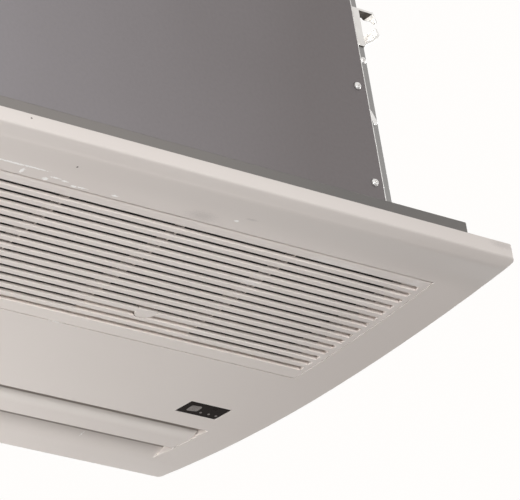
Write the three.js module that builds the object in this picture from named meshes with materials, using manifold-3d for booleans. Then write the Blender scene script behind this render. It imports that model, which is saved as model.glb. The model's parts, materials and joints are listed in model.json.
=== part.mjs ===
// One-way ceiling cassette air conditioner: a sheet-steel casing above the ceiling, and below it
// a crowned panel with a hinged louvred intake grille and one air flap along its front edge.
// Millimetres. +Z is up, X runs along the unit, -Y is its rear and +Y its outlet side.
// The origin is the middle of the panel in the plane of the finished ceiling.
import * as THREE from 'three';
import { mergeVertices } from 'three/addons/utils/BufferGeometryUtils.js';
import Module from 'manifold-3d';

const wasm = await Module();
wasm.setup();

// ---------------------------------------------------------------- driving dimensions
const seat = 0.3; // gap between two pieces that rest on or against each other
const far = 80; // reach of a cutting tool past the panel

// Panel: its underside is crowned, lowest along the middle
const panelLength = 1000;
const panelDepth = 470;
const crownDepth = 26.4; // lowest line, below the ceiling plane
const rearRimHeight = 14.6;
const frontRimHeight = 8.9;
const rimRound = 2.6; // the rim's lower edges
const cornerRound = 5; // the panel's corners in plan
const panelWall = 3;
const wellWall = 2.5; // walls that rise from the panel round its two openings
const panelRibCount = 5;
const panelRibWall = 1.6;
const panelRibInset = 100; // panel's end to its first rib
const rearRibTop = -9;
const troughRibTop = -12;

// Intake opening and its grille
const intakeInset = 54.5; // rear edge of the panel to the opening
const intakeDepth = 180.5;
const intakeEndInset = 45.4; // end of the panel to the opening
const grilleGap = 1; // all round the grille
const grilleWall = 3;
const slotPitch = 10.64;
const slotWidth = 6;
const firstSlot = 13.7; // opening's rear edge to the first slot's middle
const lastSlotRoom = 17.5; // least room from the last slot's middle to the opening's front edge
const slotEndInset = 6.8; // opening's end to the slots
const blindEnd = 16.4; // length of a slot's blind end
const sideBays = 3; // each side of the middle bay
const middleBayLength = 144;
const grilleRib = 2;
const ribRecess = 2.4; // ribs start this far behind the grille's face
const ribInset = 8; // ribs start this far inside the grille's rear edge
const backing = 1.2; // sheet behind the blind slots
const backingLap = 0.2;
const grilleBackHeight = 14.4; // highest rib, above the crown line
const hingePin = 1.6;
const hingePinLength = 4; // beyond the grille's end
const hingePinRoot = 5;
const pinClearance = 0.3;

// Finger latches on the grille
const latchWidth = 20.5;
const latchDepth = 12;
const latchTravel = 4.8;
const latchSlotFromLast = 2; // a latch slides back into the slot this many before the last
const latchGap = 0.5;
const latchShoulder = 6; // depth of the bowed front corners
const neckWidth = 12;
const neckDepth = 6;
const sliderWidth = 18;
const sliderWall = 2;
const sliderGap = 0.7;
const guideWall = 2;
const guideLength = 20;

// Air filters, one each side of the middle
const filterHeight = 3.5;
const filterBorder = 8;
const filterNet = 0.6;
const filterBars = 4;
const filterBar = 3;
const filterGap = 0.6;
const filterMiddleGap = 8; // between the two filters
const railDepth = 6; // how far the grille's rails reach over the filters
const railRoom = 2;

// Outlet opening, its flap and the hollow in front of it
const outletInset = 115; // front edge of the panel to the opening's rear edge
const outletDepth = 49;
const outletEndInset = 41;
const hollowDepth = 26;
const hollowHeight = 8;
const hollowBow = 0.55; // 0 is a straight slope, 1 a full quarter curve
const flapGap = 1.5; // at each end
const flapBead = 3.2; // radius of the flap's hinge edge
const flapLip = 2.8; // thickness of its front edge
const flapNose = 18.5; // hinge to where the flap's face lies flush with the panel
const flapSag = 3; // how far its back dips
const flapRise = 16.4; // hinge edge above the crown line
const flapSetback = 6.5; // opening's rear edge to the hinge
const flapFrontGap = 2.7;
const flapPin = 2;
const flapPinClearance = 0.4;
const flapMotorLength = 15;
const flapMotorEar = 14;
const flapMotorEarWall = 1.5;
const flapMotorGap = 0.5;

// Receiver window beside the outlet
const windowLength = 46;
const windowDepth = 23;
const windowEndInset = 53; // end of the panel to the window
const windowInset = 138; // front edge of the panel to the window's front edge
const windowHousing = 12;
const buttonRadius = 2;
const buttonFlange = 1.4;
const buttonOffset = 8.3; // middle of the window to the button, along X
const buttonInset = 5.6; // rear edge of the window to the button
const buttonTravel = 0.8;

// Frame on the back of the panel, and its foam seal
const frameInset = 25;
const frameBottom = 0.5;
const frameTop = 28.3;
const frameWall = 2;
const frameDeck = 2.5;
const deckLap = 5.5; // deck past the intake opening's rear edge
const sealHeight = 3.1;

// Casing
const casingInset = 45; // panel's long edges to the casing
const casingEndInset = 90; // panel's ends to the casing
const casingHeight = 226;
const sheet = 1.2;
const sheetGap = 0.4; // from the sheet to what stands inside
const flange = 24; // return flanges of the end plates
const stripWidth = 5.3; // end plate's flange that shows beside the rear plate
const lowerFlange = 18;
const cornerGap = 0.5;
const beadHeight = 2;
const beadCount = 4;
const beadWidth = 28;
const beadTaper = 5;
const beadInset = 40;

// Hanger brackets
const hangerSheet = 2;
const hangerLip = 1.8;
const hangerDepth = 40;
const hangerReach = 22;
const hangerHeight = 38;
const hangerTop = 28; // below the casing's top
const hangerRise = 15.2; // lower arm's tip above its foot
const hangerLipUp = 7.3;
const hangerLipDown = 9.8;
const keyholeGrow = 2.4; // the upper arm's slot ends in a wider round hole
const rodSlot = 12;
const rodInset = 17.5; // bracket's outer edge to the rod
const rodOffset = 11.5; // casing's end to the rod

// Cross-flow fan
const fanRadius = 50;
const fanEndInset = 114; // casing's end to the rotor
const fanFromFront = 103;
const fanHeight = 138; // axis above the casing's underside
const bladeCount = 26;
const bladeDepth = 12;
const bladeLean = 9; // degrees from a blade's inner edge to its outer edge
const bladeThickness = 1.4;
const bladeEdge = 0.7; // thickness at its edges, as a share of its middle
const fanBays = 3;
const discThickness = 2;
const hubRadius = 10;
const hubLength = 9;
const hubDepth = 3; // inside the last bay
const shaftRadius = 4;
const shaftClearance = 0.4;
const shaftInMotor = 15;

// Fan housing
const housingRoom = 15.8; // rotor's end to the housing's end
const scrollStart = 4; // gap between the rotor and the scroll where the spiral starts
const scrollEnd = 25;
const scrollFrom = 115; // degrees
const scrollTo = -10;
const scrollRear = 37; // axis to the scroll's rear face
const scrollNose = 60; // axis to the scroll's rear foot
const tongueAngle = 217; // degrees
const tongueGap = 5;
const tongueNose = 8;
const housingWall = 1.8;
const ductFoot = 6.4;
const bearingHole = 8;
const motorHole = 14;

// Motor
const motorRadius = 42;
const motorLength = 62;
const motorGap = 0.5;
const motorStandOff = 2; // bulkhead to the motor
const motorBoss = 19;
const motorBossLength = 6;
const motorNoseLength = 1.4;
const bracketSheet = 1.5;
const bracketMargin = 13;
const cupWall = 1.9;
const cupLength = 38;
const cupWindow = 28;
const cupWindowStart = 8;
const cupWindowEnd = 30;

// Bearing at the other end
const bearingRadius = 14;
const bearingLength = 12;
const bearingFoot = 48;
const bearingFootWall = 4;
const bearingFootHeight = 18;

// Coil: a slanted block of fins, two rows of tubes
const coilEndInset = 93.5; // casing's end to the fins
const coilThickness = 38;
const coilSlope = 46; // degrees
const coilRise = 56; // lower end above the casing's underside
const coilTopGap = 17.25; // upper corner to the casing's top
const coilPlate = 1.5;
const coilPlateLap = 1.5;
const tubeRadius = 4.2;
const tubePitch = 21;
const rowOffset = 9.5;
const gasPipe = 4.76;
const liquidPipe = 3.18;
const pipeReach = 60; // beyond the end plate
const pipeHoleGap = 0.6;
const gasInset = 94; // casing's rear to the gas pipe
const liquidInset = 52;
const gasFromTop = 58; // casing's top to the gas pipe
const liquidFromTop = 76;
const nutInset = 6;

// Drain pan and pump
const panFromOutlet = 64;
const panDepth = 69;
const panEndInset = 15;
const panWall = 3;
const panDraft = 2;
const panFloor = 8.4;
const panRearHeight = 40;
const panFrontHeight = 70;
const panEndHeight = 24;
const coilInPan = 24; // pan's rear edge to the coil's lower end
const pumpRadius = 18;
const pumpHeight = 58;
const pumpCap = 24;
const pumpFoot = 12;
const pumpFootRadius = 9;
const pumpFromEnd = 42;
const pumpGap = 8; // pan's front wall to the pump
const floatRadius = 7;
const floatHeight = 14;
const floatTravel = 12;
const floatBore = 2.5;
const floatGap = 3;
const stemRadius = 2;
const collarRadius = 4;
const collarTop = 5;
const armWall = 3;
const armRoom = 2.4;
const spigotBore = 12.5;
const spigotWall = 3.5;
const spigotCollar = 6;
const spigotInside = 20;
const spigotOutside = 36;
const hoseRadius = 7;
const hoseBend = 12;

// Air vanes in the outlet duct, in two ganged groups
const vanesPerGroup = 4;
const vaneThickness = 1.5;
const vanePivot = 56; // pivot above the casing's underside
const vaneBelow = 36;
const vaneAbove = 8;
const vaneRearGap = 10;
const vaneFrontGap = 7;
const vanePin = 1.9;
const vanePinGap = 0.5;
const linkSetback = 27; // duct's front wall to the link bar
const linkDrop = 30; // pivot to the link pin
const linkPin = 1.5;
const linkPinGap = 0.6;
const linkBar = 7;
const linkDepth = 10;
const linkEnd = 8;
const linkSideGap = 3;

// Electrical box
const boxWidth = 58;
const boxRearInset = 18; // casing's rear to the box
const boxPanGap = 11;
const boxRise = 34; // above the casing's underside
const boxTopGap = 22; // below the casing's top
const boardThickness = 1.6;
const boardStandOff = 6;
const boardMargin = 8;
const relayCount = 3;
const relayShare = 0.55; // of the pitch that a relay fills
const relayHeight = 14;
const relayRise = 16;
const capacitorRadius = 11;
const capacitorRise = 25;
const terminalWidth = 24;
const terminalHeight = 80;
const terminalDepth = 14;
const terminalPitch = 18;
const terminalFins = 5;

// ---------------------------------------------------------------- derived places
const panelEnd = panelLength / 2;
const rearEdge = -panelDepth / 2;
const frontEdge = panelDepth / 2;
const intakeRear = rearEdge + intakeInset;
const intakeFront = intakeRear + intakeDepth;
const intakeEnd = panelEnd - intakeEndInset;
const outletRear = frontEdge - outletInset;
const outletFront = outletRear + outletDepth;
const outletEnd = panelEnd - outletEndInset;
const hollowFront = outletFront + hollowDepth;
const deckBottom = frameTop - frameDeck;
const wellTop = deckBottom - seat;
const casingLength = panelLength - 2 * casingEndInset;
const casingBottom = frameTop + seat + sealHeight + seat;
const casingTop = casingBottom + casingHeight;
const casingRear = rearEdge + casingInset;
const casingFront = frontEdge - casingInset;
const casingEnd = casingLength / 2;
const traySide = sheet + seat; // casing's face to the end plates' flanges
const insideBottom = casingBottom + sheet + sheetGap;
const insideTop = casingTop - sheet - sheetGap;
const insideFront = casingFront - sheet - sheetGap;
const panRear = outletRear - panFromOutlet - panDepth;
const panFront = outletRear - panFromOutlet;
const fanY = casingFront - fanFromFront;
const fanZ = casingBottom + fanHeight;
const fanEnd = casingEnd - fanEndInset;
const housingEnd = fanEnd + housingRoom;
const bulkheadOuter = housingEnd + seat + housingWall;

// Height of the panel's underside at a distance y from the middle
function underside(y) {
  const rim = y < 0 ? rearRimHeight : frontRimHeight;
  return -crownDepth + (crownDepth - rim) * (y / frontEdge) ** 2;
}

// The grille: its hinge edge, its slots and the bays between its ribs
const hingeY = intakeRear + grilleGap + grilleWall;
const hingeZ = underside(hingeY) + grilleWall;
const grilleEnd = intakeEnd - grilleGap;
const grilleFront = intakeFront - grilleGap;
const slotEnd = intakeEnd - slotEndInset;
const slotCount = 1 + Math.floor((intakeDepth - firstSlot - lastSlotRoom) / slotPitch);
const outerRib = slotEnd - blindEnd;
const bayLength = (outerRib - middleBayLength / 2) / sideBays;
const ribTop = -crownDepth + grilleBackHeight;
const latchOffset = outerRib - 1.5 * bayLength; // middle of the second bay from the end
const latchSlot = slotCount - 1 - latchSlotFromLast;
const sliderBottom = -crownDepth + grilleWall + backing + sliderGap;

// The flap's hinge and the air vanes
const flapY = outletRear + flapSetback;
const flapZ = -crownDepth + flapRise;
const vaneZ = casingBottom + vanePivot;
const vanePitch = fanEnd / vanesPerGroup;
const linkY = outletFront - linkSetback;
const linkZ = vaneZ - linkDrop;

// ---------------------------------------------------------------- geometry helpers
function toSolid(geometry) {
  const bare = geometry.index ? geometry.toNonIndexed() : geometry.clone();
  bare.deleteAttribute('normal');
  bare.deleteAttribute('uv');
  const merged = mergeVertices(bare, 1e-4);
  const vertProperties = new Float32Array(merged.attributes.position.array);
  const triVerts = new Uint32Array(merged.index.array);
  return new wasm.Manifold(new wasm.Mesh({ numProp: 3, vertProperties, triVerts }));
}

function toGeometry(solid) {
  const mesh = solid.getMesh();
  const geometry = new THREE.BufferGeometry();
  geometry.setAttribute('position', new THREE.BufferAttribute(mesh.vertProperties, 3));
  geometry.setIndex(new THREE.BufferAttribute(mesh.triVerts, 1));
  geometry.computeVertexNormals();
  return geometry;
}

function extrude(points, length) {
  const shape = new THREE.Shape(points.map(([u, v]) => new THREE.Vector2(u, v)));
  return new THREE.ExtrudeGeometry(shape, { depth: length, bevelEnabled: false });
}

// Prisms along each axis, from a closed outline in the plane across it
function prismX(yzPoints, x0, x1) {
  const turn = new THREE.Matrix4().set(0, 0, 1, x0, 1, 0, 0, 0, 0, 1, 0, 0, 0, 0, 0, 1);
  return toSolid(extrude(yzPoints, x1 - x0).applyMatrix4(turn));
}

function prismY(xzPoints, y0, y1) {
  const turn = new THREE.Matrix4().set(1, 0, 0, 0, 0, 0, -1, y1, 0, 1, 0, 0, 0, 0, 0, 1);
  return toSolid(extrude(xzPoints, y1 - y0).applyMatrix4(turn));
}

function prismZ(xyPoints, z0, z1) {
  return toSolid(extrude(xyPoints, z1 - z0).translate(0, 0, z0));
}

function box(x0, x1, y0, y1, z0, z1) {
  const geometry = new THREE.BoxGeometry(x1 - x0, y1 - y0, z1 - z0);
  return toSolid(geometry.translate((x0 + x1) / 2, (y0 + y1) / 2, (z0 + z1) / 2));
}

// Points on an arc round (u, v), from one angle to another in degrees
function arc(u, v, radius, from, to, count) {
  return steps(from, to, count).map((degrees) => {
    const angle = THREE.MathUtils.degToRad(degrees);
    return [u + radius * Math.cos(angle), v + radius * Math.sin(angle)];
  });
}

function circle(u, v, radius, sides) {
  const half = 180 / sides;
  return arc(u, v, radius, half, 360 - half, sides - 1);
}

const rodX = (x0, x1, y, z, radius, sides) => prismX(circle(y, z, radius, sides), x0, x1);
const rodY = (y0, y1, x, z, radius, sides) => prismY(circle(x, z, radius, sides), y0, y1);
const rodZ = (z0, z1, x, y, radius, sides) => prismZ(circle(x, y, radius, sides), z0, z1);

// Round tube or rod along a smooth route
function routed(points, radius, sides, count) {
  const route = new THREE.CatmullRomCurve3(points.map((p) => new THREE.Vector3(...p)), false, 'centripetal');
  const section = new THREE.Shape(circle(0, 0, radius, sides).map(([u, v]) => new THREE.Vector2(u, v)));
  return toSolid(new THREE.ExtrudeGeometry(section, { steps: count, extrudePath: route }));
}

function union(solids) {
  return solids.reduce((whole, piece) => whole.add(piece));
}

function cut(solid, tools) {
  return tools.reduce((rest, tool) => rest.subtract(tool), solid);
}

function steps(from, to, count) {
  return Array.from({ length: count + 1 }, (_, i) => from + ((to - from) * i) / count);
}

function shifted(points, dx) {
  return points.map(([x, y]) => [x + dx, y]);
}

// A piece modelled for the right end, or its mirror image for the left end
function onSide(solid, side) {
  return side > 0 ? solid : solid.mirror([1, 0, 0]);
}

// Outline of a sheet that follows the underside, between two heights above it
function crownBand(y0, y1, low, high, count) {
  const ys = steps(y0, y1, count);
  const lower = ys.map((y) => [y, underside(y) + low]);
  const upper = ys.map((y) => [y, underside(y) + high]).reverse();
  return [...lower, ...upper];
}

// ---------------------------------------------------------------- materials
function material(color, roughness, metalness) {
  return new THREE.MeshStandardMaterial({ color, roughness, metalness });
}

const galvanised = material('#8a8382', 0.5, 0.8);
const zincPlated = material('#c2bfba', 0.35, 0.9);
const ivoryPlastic = material('#cbc3bc', 0.45, 0);
const darkFrame = material('#6b625d', 0.7, 0);
const foam = material('#3a3836', 0.95, 0);
const whiteFoam = material('#e4e2dd', 0.9, 0);
const blackPlastic = material('#2b2523', 0.4, 0);
const greyPlastic = material('#8d8a86', 0.5, 0);
const aluminium = material('#b9bcbf', 0.4, 0.9);
const copper = material('#b06a45', 0.35, 1);
const brass = material('#b39a55', 0.35, 1);
const boardGreen = material('#2f5a3c', 0.6, 0);

const assembly = new THREE.Group();

function place(name, solid, look) {
  const mesh = new THREE.Mesh(toGeometry(solid), look);
  mesh.name = name;
  assembly.add(mesh);
}

// ---------------------------------------------------------------- casing
// An end plate is a tray with return flanges on all four sides
function endPlate(side) {
  const rear = casingRear + traySide;
  const front = casingFront - traySide;
  const top = casingTop - traySide;
  const x0 = casingEnd - flange;
  const shape = box(x0, casingEnd, rear, front, casingBottom, top);
  const inside = box(x0 - 1, casingEnd - sheet, rear + sheet, front - sheet, casingBottom + sheet,
    top - sheet);
  return onSide(shape.subtract(inside), side);
}

function leftEndPlate() {
  const x0 = -casingEnd - 1;
  const x1 = -casingEnd + sheet + 1;
  return cut(endPlate(-1), [rodX(x0, x1, ...gasExit, gasPipe + pipeHoleGap, 12),
    rodX(x0, x1, ...liquidExit, liquidPipe + pipeHoleGap, 12),
    rodX(x0, x1, ...drainExit, spigotBore + spigotWall + pipeHoleGap, 16)]);
}

function wallPlate(side) {
  const reach = casingEnd - stripWidth;
  const face = box(-reach, reach, casingRear, casingRear + sheet, casingBottom, casingTop - traySide);
  const foot = casingEnd - flange - cornerGap;
  const lower = box(-foot, foot, casingRear, casingRear + lowerFlange, casingBottom, casingBottom + sheet);
  const plate = face.add(lower);
  return side < 0 ? plate : plate.mirror([0, 1, 0]);
}

function topPlate() {
  const plate = box(-casingEnd, casingEnd, casingRear, casingFront, casingTop - sheet, casingTop);
  const beads = [];
  for (let i = 0; i < beadCount; i++) {
    const x = ((i - (beadCount - 1) / 2) * casingLength) / beadCount;
    const half = beadWidth / 2;
    const outline = [[x - half, casingTop - sheet / 2], [x + half, casingTop - sheet / 2],
      [x + half - beadTaper, casingTop + beadHeight], [x - half + beadTaper, casingTop + beadHeight]];
    beads.push(prismY(outline, casingRear + beadInset, casingFront - beadInset));
  }
  return union([plate, ...beads]);
}

// The strip between the two openings, which carries the drain pan
function bottomPlate() {
  const end = casingEnd - flange - cornerGap;
  const rear = panRear - panWall - 1;
  const front = outletRear - panWall;
  return box(-end, end, rear, front, casingBottom, casingBottom + sheet);
}

// Hanger: one pressed strip, with slotted arms above and below for the hanging rod
function hangerOutline() {
  const t = hangerSheet;
  const x = casingEnd + seat;
  const tip = x + hangerReach;
  const top = casingTop - hangerTop;
  const foot = top - hangerHeight;
  const middle = x + hangerReach * 0.57;
  const lowerArm = [[x, foot], [middle, foot + hangerRise / 2], [tip, foot + hangerRise],
    [tip - t, foot + hangerRise + hangerLipUp], [tip - 2 * t, foot + hangerRise + hangerLipUp - 0.5]];
  const lowerArmTop = [[tip - t - 0.6, foot + hangerRise + 0.8], [middle - 0.6, foot + hangerRise / 2 + t],
    [x + t, foot + t + 1.3]];
  const upperArm = [[x + t, top - t], [tip - 2 * t - 0.4, top - t], [tip - t + 0.4, top - hangerLipDown],
    [tip, top - hangerLipDown + 0.6], [tip - t - 1, top], [x, top]];
  return [...lowerArm, ...lowerArmTop, ...upperArm];
}

function hangerBracket(sideX, sideY) {
  const rear = casingRear + traySide - seat - hangerLip;
  const top = casingTop - hangerTop;
  const foot = top - hangerHeight;
  const strip = prismY(hangerOutline(), rear, rear + hangerDepth);
  const lip = box(casingEnd - stripWidth + seat, casingEnd + seat + hangerSheet, rear, rear + hangerLip,
    foot, top);
  const rodX0 = casingEnd + rodOffset;
  const rodY0 = rear + rodInset;
  const half = rodSlot / 2;
  const bend = casingEnd + seat + hangerReach - 2 * hangerSheet;
  const armFoot = top - hangerSheet;
  const upperSlot = [rodZ(armFoot - 1, top + 1, rodX0, rodY0, half + keyholeGrow, 12),
    box(rodX0, rodX0 + hangerReach, rodY0 - half, rodY0 + half, top - hangerLipDown - 1, top + 1)];
  const lowerSlot = [rodZ(foot - 1, armFoot - 2, rodX0, rodY0, half, 8),
    box(rodX0, bend - 1, rodY0 - half, rodY0 + half, foot - 1, armFoot - 2)];
  const bay = prismX([[rear + 3, top - hangerLipDown - 1], [rear + 6, top - hangerLipDown * 0.55],
    [rodY0 - half, armFoot], [rodY0 + half, armFoot], [rear + hangerDepth - 6, top - hangerLipDown * 0.55],
    [rear + hangerDepth - 3, top - hangerLipDown - 1]], bend - 1, bend + hangerReach);
  const bracket = onSide(cut(strip.add(lip), [...upperSlot, ...lowerSlot, bay]), sideX);
  return sideY < 0 ? bracket : bracket.mirror([0, 1, 0]);
}

// ---------------------------------------------------------------- panel
// Outside of the panel up to a height: crowned underside, rounded rims and corners
function panelEnvelope(top) {
  const r = rimRound;
  const rear = rearEdge + r;
  const front = frontEdge - r;
  const middle = steps(rear, front, 16).slice(1, -1).map((y) => [y, underside(y)]);
  const section = [...arc(rear, underside(rear) + r, r, 180, 270, 3), ...middle,
    ...arc(front, underside(front) + r, r, 270, 360, 3), [frontEdge, top], [rearEdge, top]];
  const c = cornerRound;
  const x = panelEnd - c;
  const y = frontEdge - c;
  const plan = [...arc(x, y, c, 0, 90, 3), ...arc(-x, y, c, 90, 180, 3), ...arc(-x, -y, c, 180, 270, 3),
    ...arc(x, -y, c, 270, 360, 3)];
  return prismX(section, -panelEnd, panelEnd).intersect(prismZ(plan, -far, far));
}

// A block over an opening in the panel, grown by a wall
function openingBlock(end, rear, front, wall, top) {
  return box(-end - wall, end + wall, rear - wall, front + wall, -far, top);
}

// Concave surface that leads the air forward, from the outlet's front wall to the underside
function hollowCurve() {
  const high = underside(outletFront) + hollowHeight;
  const low = underside(hollowFront);
  return steps(0, 1, 6).map((t) => {
    const bowed = 1 - Math.sin((t * Math.PI) / 2) ** 2;
    const share = hollowBow * bowed + (1 - hollowBow) * (1 - t);
    return [outletFront + hollowDepth * t, low + (high - low) * share];
  });
}

function hollowWalls() {
  const curve = hollowCurve();
  const above = curve.map(([y, z]) => [y, z + panelWall]).reverse();
  const skin = prismX([...curve, ...above], -outletEnd - wellWall, outletEnd + wellWall);
  const endRise = curve[0][1] + panelWall;
  const rightEnd = box(outletEnd, outletEnd + wellWall, outletFront, hollowFront, -far, endRise);
  return [skin, rightEnd, onSide(rightEnd, -1)];
}

function hollowCut() {
  const curve = hollowCurve();
  const rear = outletFront - 1;
  return prismX([...curve, [hollowFront, -far], [rear, -far], [rear, curve[0][1]]], -outletEnd, outletEnd);
}

// Ribs across the gutter behind the intake and across the trough between the two openings
function panelRibs() {
  const reach = panelEnd - panelRibInset;
  const half = panelRibWall / 2;
  return steps(-reach, reach, panelRibCount - 1).flatMap((x) => [
    box(x - half, x + half, rearEdge + 1, intakeRear - 1, -far, rearRibTop),
    box(x - half, x + half, intakeFront + 1, outletRear - 1, -far, troughRibTop),
  ]);
}

// Recess in the front wall of the intake that a latch's tongue springs into
function latchCatch(side) {
  const half = sliderWidth / 2 + 2;
  const z = sliderBottom - 1.5;
  return onSide(box(latchOffset - half, latchOffset + half, intakeFront - 1, intakeFront + wellWall + 1, z,
    sliderBottom + sliderWall + 1), side);
}

function panelMoulding() {
  const rear = rearEdge + panelWall;
  const front = frontEdge - panelWall;
  const end = panelEnd - panelWall;
  const inner = steps(rear, front, 16).map((y) => [y, underside(y) + panelWall]);
  const cavity = prismX([...inner, [front, 1], [rear, 1]], -end, end);
  const walls = union([openingBlock(intakeEnd, intakeRear, intakeFront, wellWall, wellTop),
    openingBlock(outletEnd, outletRear, outletFront, wellWall, wellTop), ...hollowWalls(), ...panelRibs()]);
  const body = panelEnvelope(0).subtract(cavity).add(walls.intersect(panelEnvelope(wellTop)));
  const pinHoles = rodX(-intakeEnd - wellWall - 1, intakeEnd + wellWall + 1, hingeY, hingeZ,
    hingePin + pinClearance, 12);
  const flapHoles = rodX(-outletEnd - wellWall - 1, outletEnd + wellWall + 1, flapY, flapZ,
    flapPin + flapPinClearance, 12);
  return cut(body, [openingBlock(intakeEnd, intakeRear, intakeFront, 0, far),
    openingBlock(outletEnd, outletRear, outletFront, 0, far), hollowCut(), windowPrism(seat, -1, far / 2),
    latchCatch(-1), latchCatch(1), pinHoles, flapHoles]);
}

// Dark frame behind the panel: a ring wall and a deck that the casing's seal rests on
function upperFrame() {
  const x = panelEnd - frameInset;
  const y = frontEdge - frameInset;
  const w = frameWall;
  const shell = box(-x, x, -y, y, frameBottom, frameTop)
    .subtract(box(-x + w, x - w, -y + w, y - w, frameBottom - 1, deckBottom));
  const reach = casingEnd - flange - 1;
  return cut(shell, [box(-reach, reach, intakeRear + deckLap, intakeFront - wellWall, 0, frameTop + 1),
    box(-reach, reach, outletRear, outletFront, 0, frameTop + 1)]);
}

function sealRing() {
  const z0 = frameTop + seat;
  const ring = box(-casingEnd + 1, casingEnd - 1, casingRear + 1, casingFront - 1, z0, z0 + sealHeight);
  const x = casingEnd - flange + 1;
  const rear = casingRear + lowerFlange + 1;
  const front = casingFront - lowerFlange - 1;
  return ring.subtract(box(-x, x, rear, front, z0 - 1, z0 + sealHeight + 1));
}

// ---------------------------------------------------------------- grille
function slotMiddle(index) {
  return intakeRear + firstSlot + index * slotPitch;
}

// Ribs stand at the bay ends, counted outward from the wider middle bay
function ribPlaces() {
  return steps(middleBayLength / 2, outerRib, sideBays).flatMap((x) => [-x, x]);
}

function grillePlate() {
  const plate = prismX(crownBand(hingeY, grilleFront, 0, grilleWall, 10), -grilleEnd, grilleEnd);
  const bead = rodX(-grilleEnd, grilleEnd, hingeY, hingeZ, grilleWall, 12);
  const slots = [];
  for (let i = 0; i < slotCount; i++) {
    const y = slotMiddle(i);
    slots.push(box(-slotEnd, slotEnd, y - slotWidth / 2, y + slotWidth / 2, -far, 0));
  }
  return cut(plate.add(bead), slots);
}

// Sheets behind the blind slots: along the front, at both ends and over each latch's bay
function grilleBacking() {
  const low = grilleWall - backingLap;
  const high = grilleWall + backing;
  const slotRear = (index) => slotMiddle(index) - slotWidth / 2 - 1;
  const end = slotEnd + 2;
  const frontSheet = prismX(crownBand(slotRear(slotCount - 1), grilleFront, low, high, 3), -end, end);
  const endSheet = prismX(crownBand(slotRear(0), grilleFront, low, high, 10), outerRib, end);
  const latchSheet = prismX(crownBand(slotRear(latchSlot), grilleFront, low, high, 4),
    latchOffset - bayLength / 2, latchOffset + bayLength / 2);
  return [frontSheet, ...[endSheet, latchSheet].flatMap((piece) => [piece, onSide(piece, -1)])];
}

// Ribs behind the plate, and the two rails that hold the filters
function grilleWalls() {
  const rear = hingeY - grilleWall + ribInset;
  const front = grilleFront - grilleWall;
  const foot = (y) => underside(y) + ribRecess;
  const outline = [...steps(rear, front, 5).map((y) => [y, foot(y)]), [front, ribTop], [rear, ribTop]];
  const half = grilleRib / 2;
  const side = grilleEnd - 2 * half;
  const ribs = [...ribPlaces(), -side, side].map((x) => prismX(outline, x - half, x + half));
  const wall = grilleWall / 2;
  const lipTop = ribTop + filterHeight + railRoom;
  const lip = lipTop - backing;
  const rearRail = [[rear - wall, foot(rear)], [rear, foot(rear)], [rear, lip], [rear + railDepth, lip],
    [rear + railDepth, lipTop], [rear - wall, lipTop]];
  const frontRail = [[front, foot(front)], [front, lip], [front - railDepth, lip],
    [front - railDepth, lipTop], [front + wall, lipTop], [front + wall, foot(front)]];
  const railEnd = side + half;
  return [...ribs, prismX(rearRail, -railEnd, railEnd), prismX(frontRail, -railEnd, railEnd)];
}

// Plan of a latch's finger pad, with a bowed front edge
const padRear = slotMiddle(latchSlot - 1) + slotWidth / 2 - latchGap;

function padOutline(grow, back) {
  const w = latchWidth / 2 + grow;
  const front = padRear + latchDepth + grow;
  return [[-w, padRear - back], [w, padRear - back], [w, front - latchShoulder], [w * 0.62, front - 1],
    [w * 0.35, front], [-w * 0.35, front], [-w * 0.62, front - 1], [-w, front - latchShoulder]];
}

// What the grille gives up for a latch: the pad's recess and the tongue's way out
function latchPocket(side) {
  const x = latchOffset;
  const half = sliderWidth / 2 + sliderGap;
  const recess = prismZ(shifted(padOutline(latchGap, latchTravel + latchGap + 0.1), x), -far, sliderBottom);
  const wayOut = box(x - half, x + half, grilleFront - 2 * grilleWall, grilleFront + 1,
    sliderBottom - sheetGap, sliderBottom + sliderWall + 1);
  return onSide(recess.add(wayOut), side);
}

// Two guides beside a latch's slider
function latchGuides(side) {
  const y1 = grilleFront - 2 * grilleWall;
  const offset = sliderWidth / 2 + 0.6 + guideWall / 2;
  const guides = [-offset, offset].map((dx) => {
    const x = latchOffset + dx;
    return box(x - guideWall / 2, x + guideWall / 2, y1 - guideLength, y1, sliderBottom - sliderGap - 0.9,
      sliderBottom + sliderWall + 0.5);
  });
  return guides.map((guide) => onSide(guide, side));
}

function intakeGrille() {
  const reach = grilleEnd + hingePinLength;
  const root = grilleEnd - hingePinRoot;
  const pins = rodX(root, reach, hingeY, hingeZ, hingePin, 10);
  const whole = union([grillePlate(), ...grilleBacking(), ...grilleWalls(), pins, onSide(pins, -1)]);
  const open = cut(whole, [latchPocket(-1), latchPocket(1)]);
  return union([open, ...latchGuides(-1), ...latchGuides(1)]);
}

function latchTab(side) {
  const x = latchOffset;
  const band = prismX(crownBand(padRear - 1, padRear + latchDepth + 1, 0.2, 2 * grilleWall, 4),
    x - latchWidth, x + latchWidth);
  const pad = prismZ(shifted(padOutline(0, 0), x), -far, sliderBottom - 1).intersect(band);
  const rear = padRear + 1;
  const top = sliderBottom + sliderWall;
  const neckFoot = -crownDepth + grilleWall / 2;
  const neck = box(x - neckWidth / 2, x + neckWidth / 2, rear, rear + neckDepth, neckFoot, top);
  const tip = intakeFront - 2 * seat;
  const slider = box(x - sliderWidth / 2, x + sliderWidth / 2, rear, tip, sliderBottom, top);
  return onSide(union([pad, neck, slider]), side);
}

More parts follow.
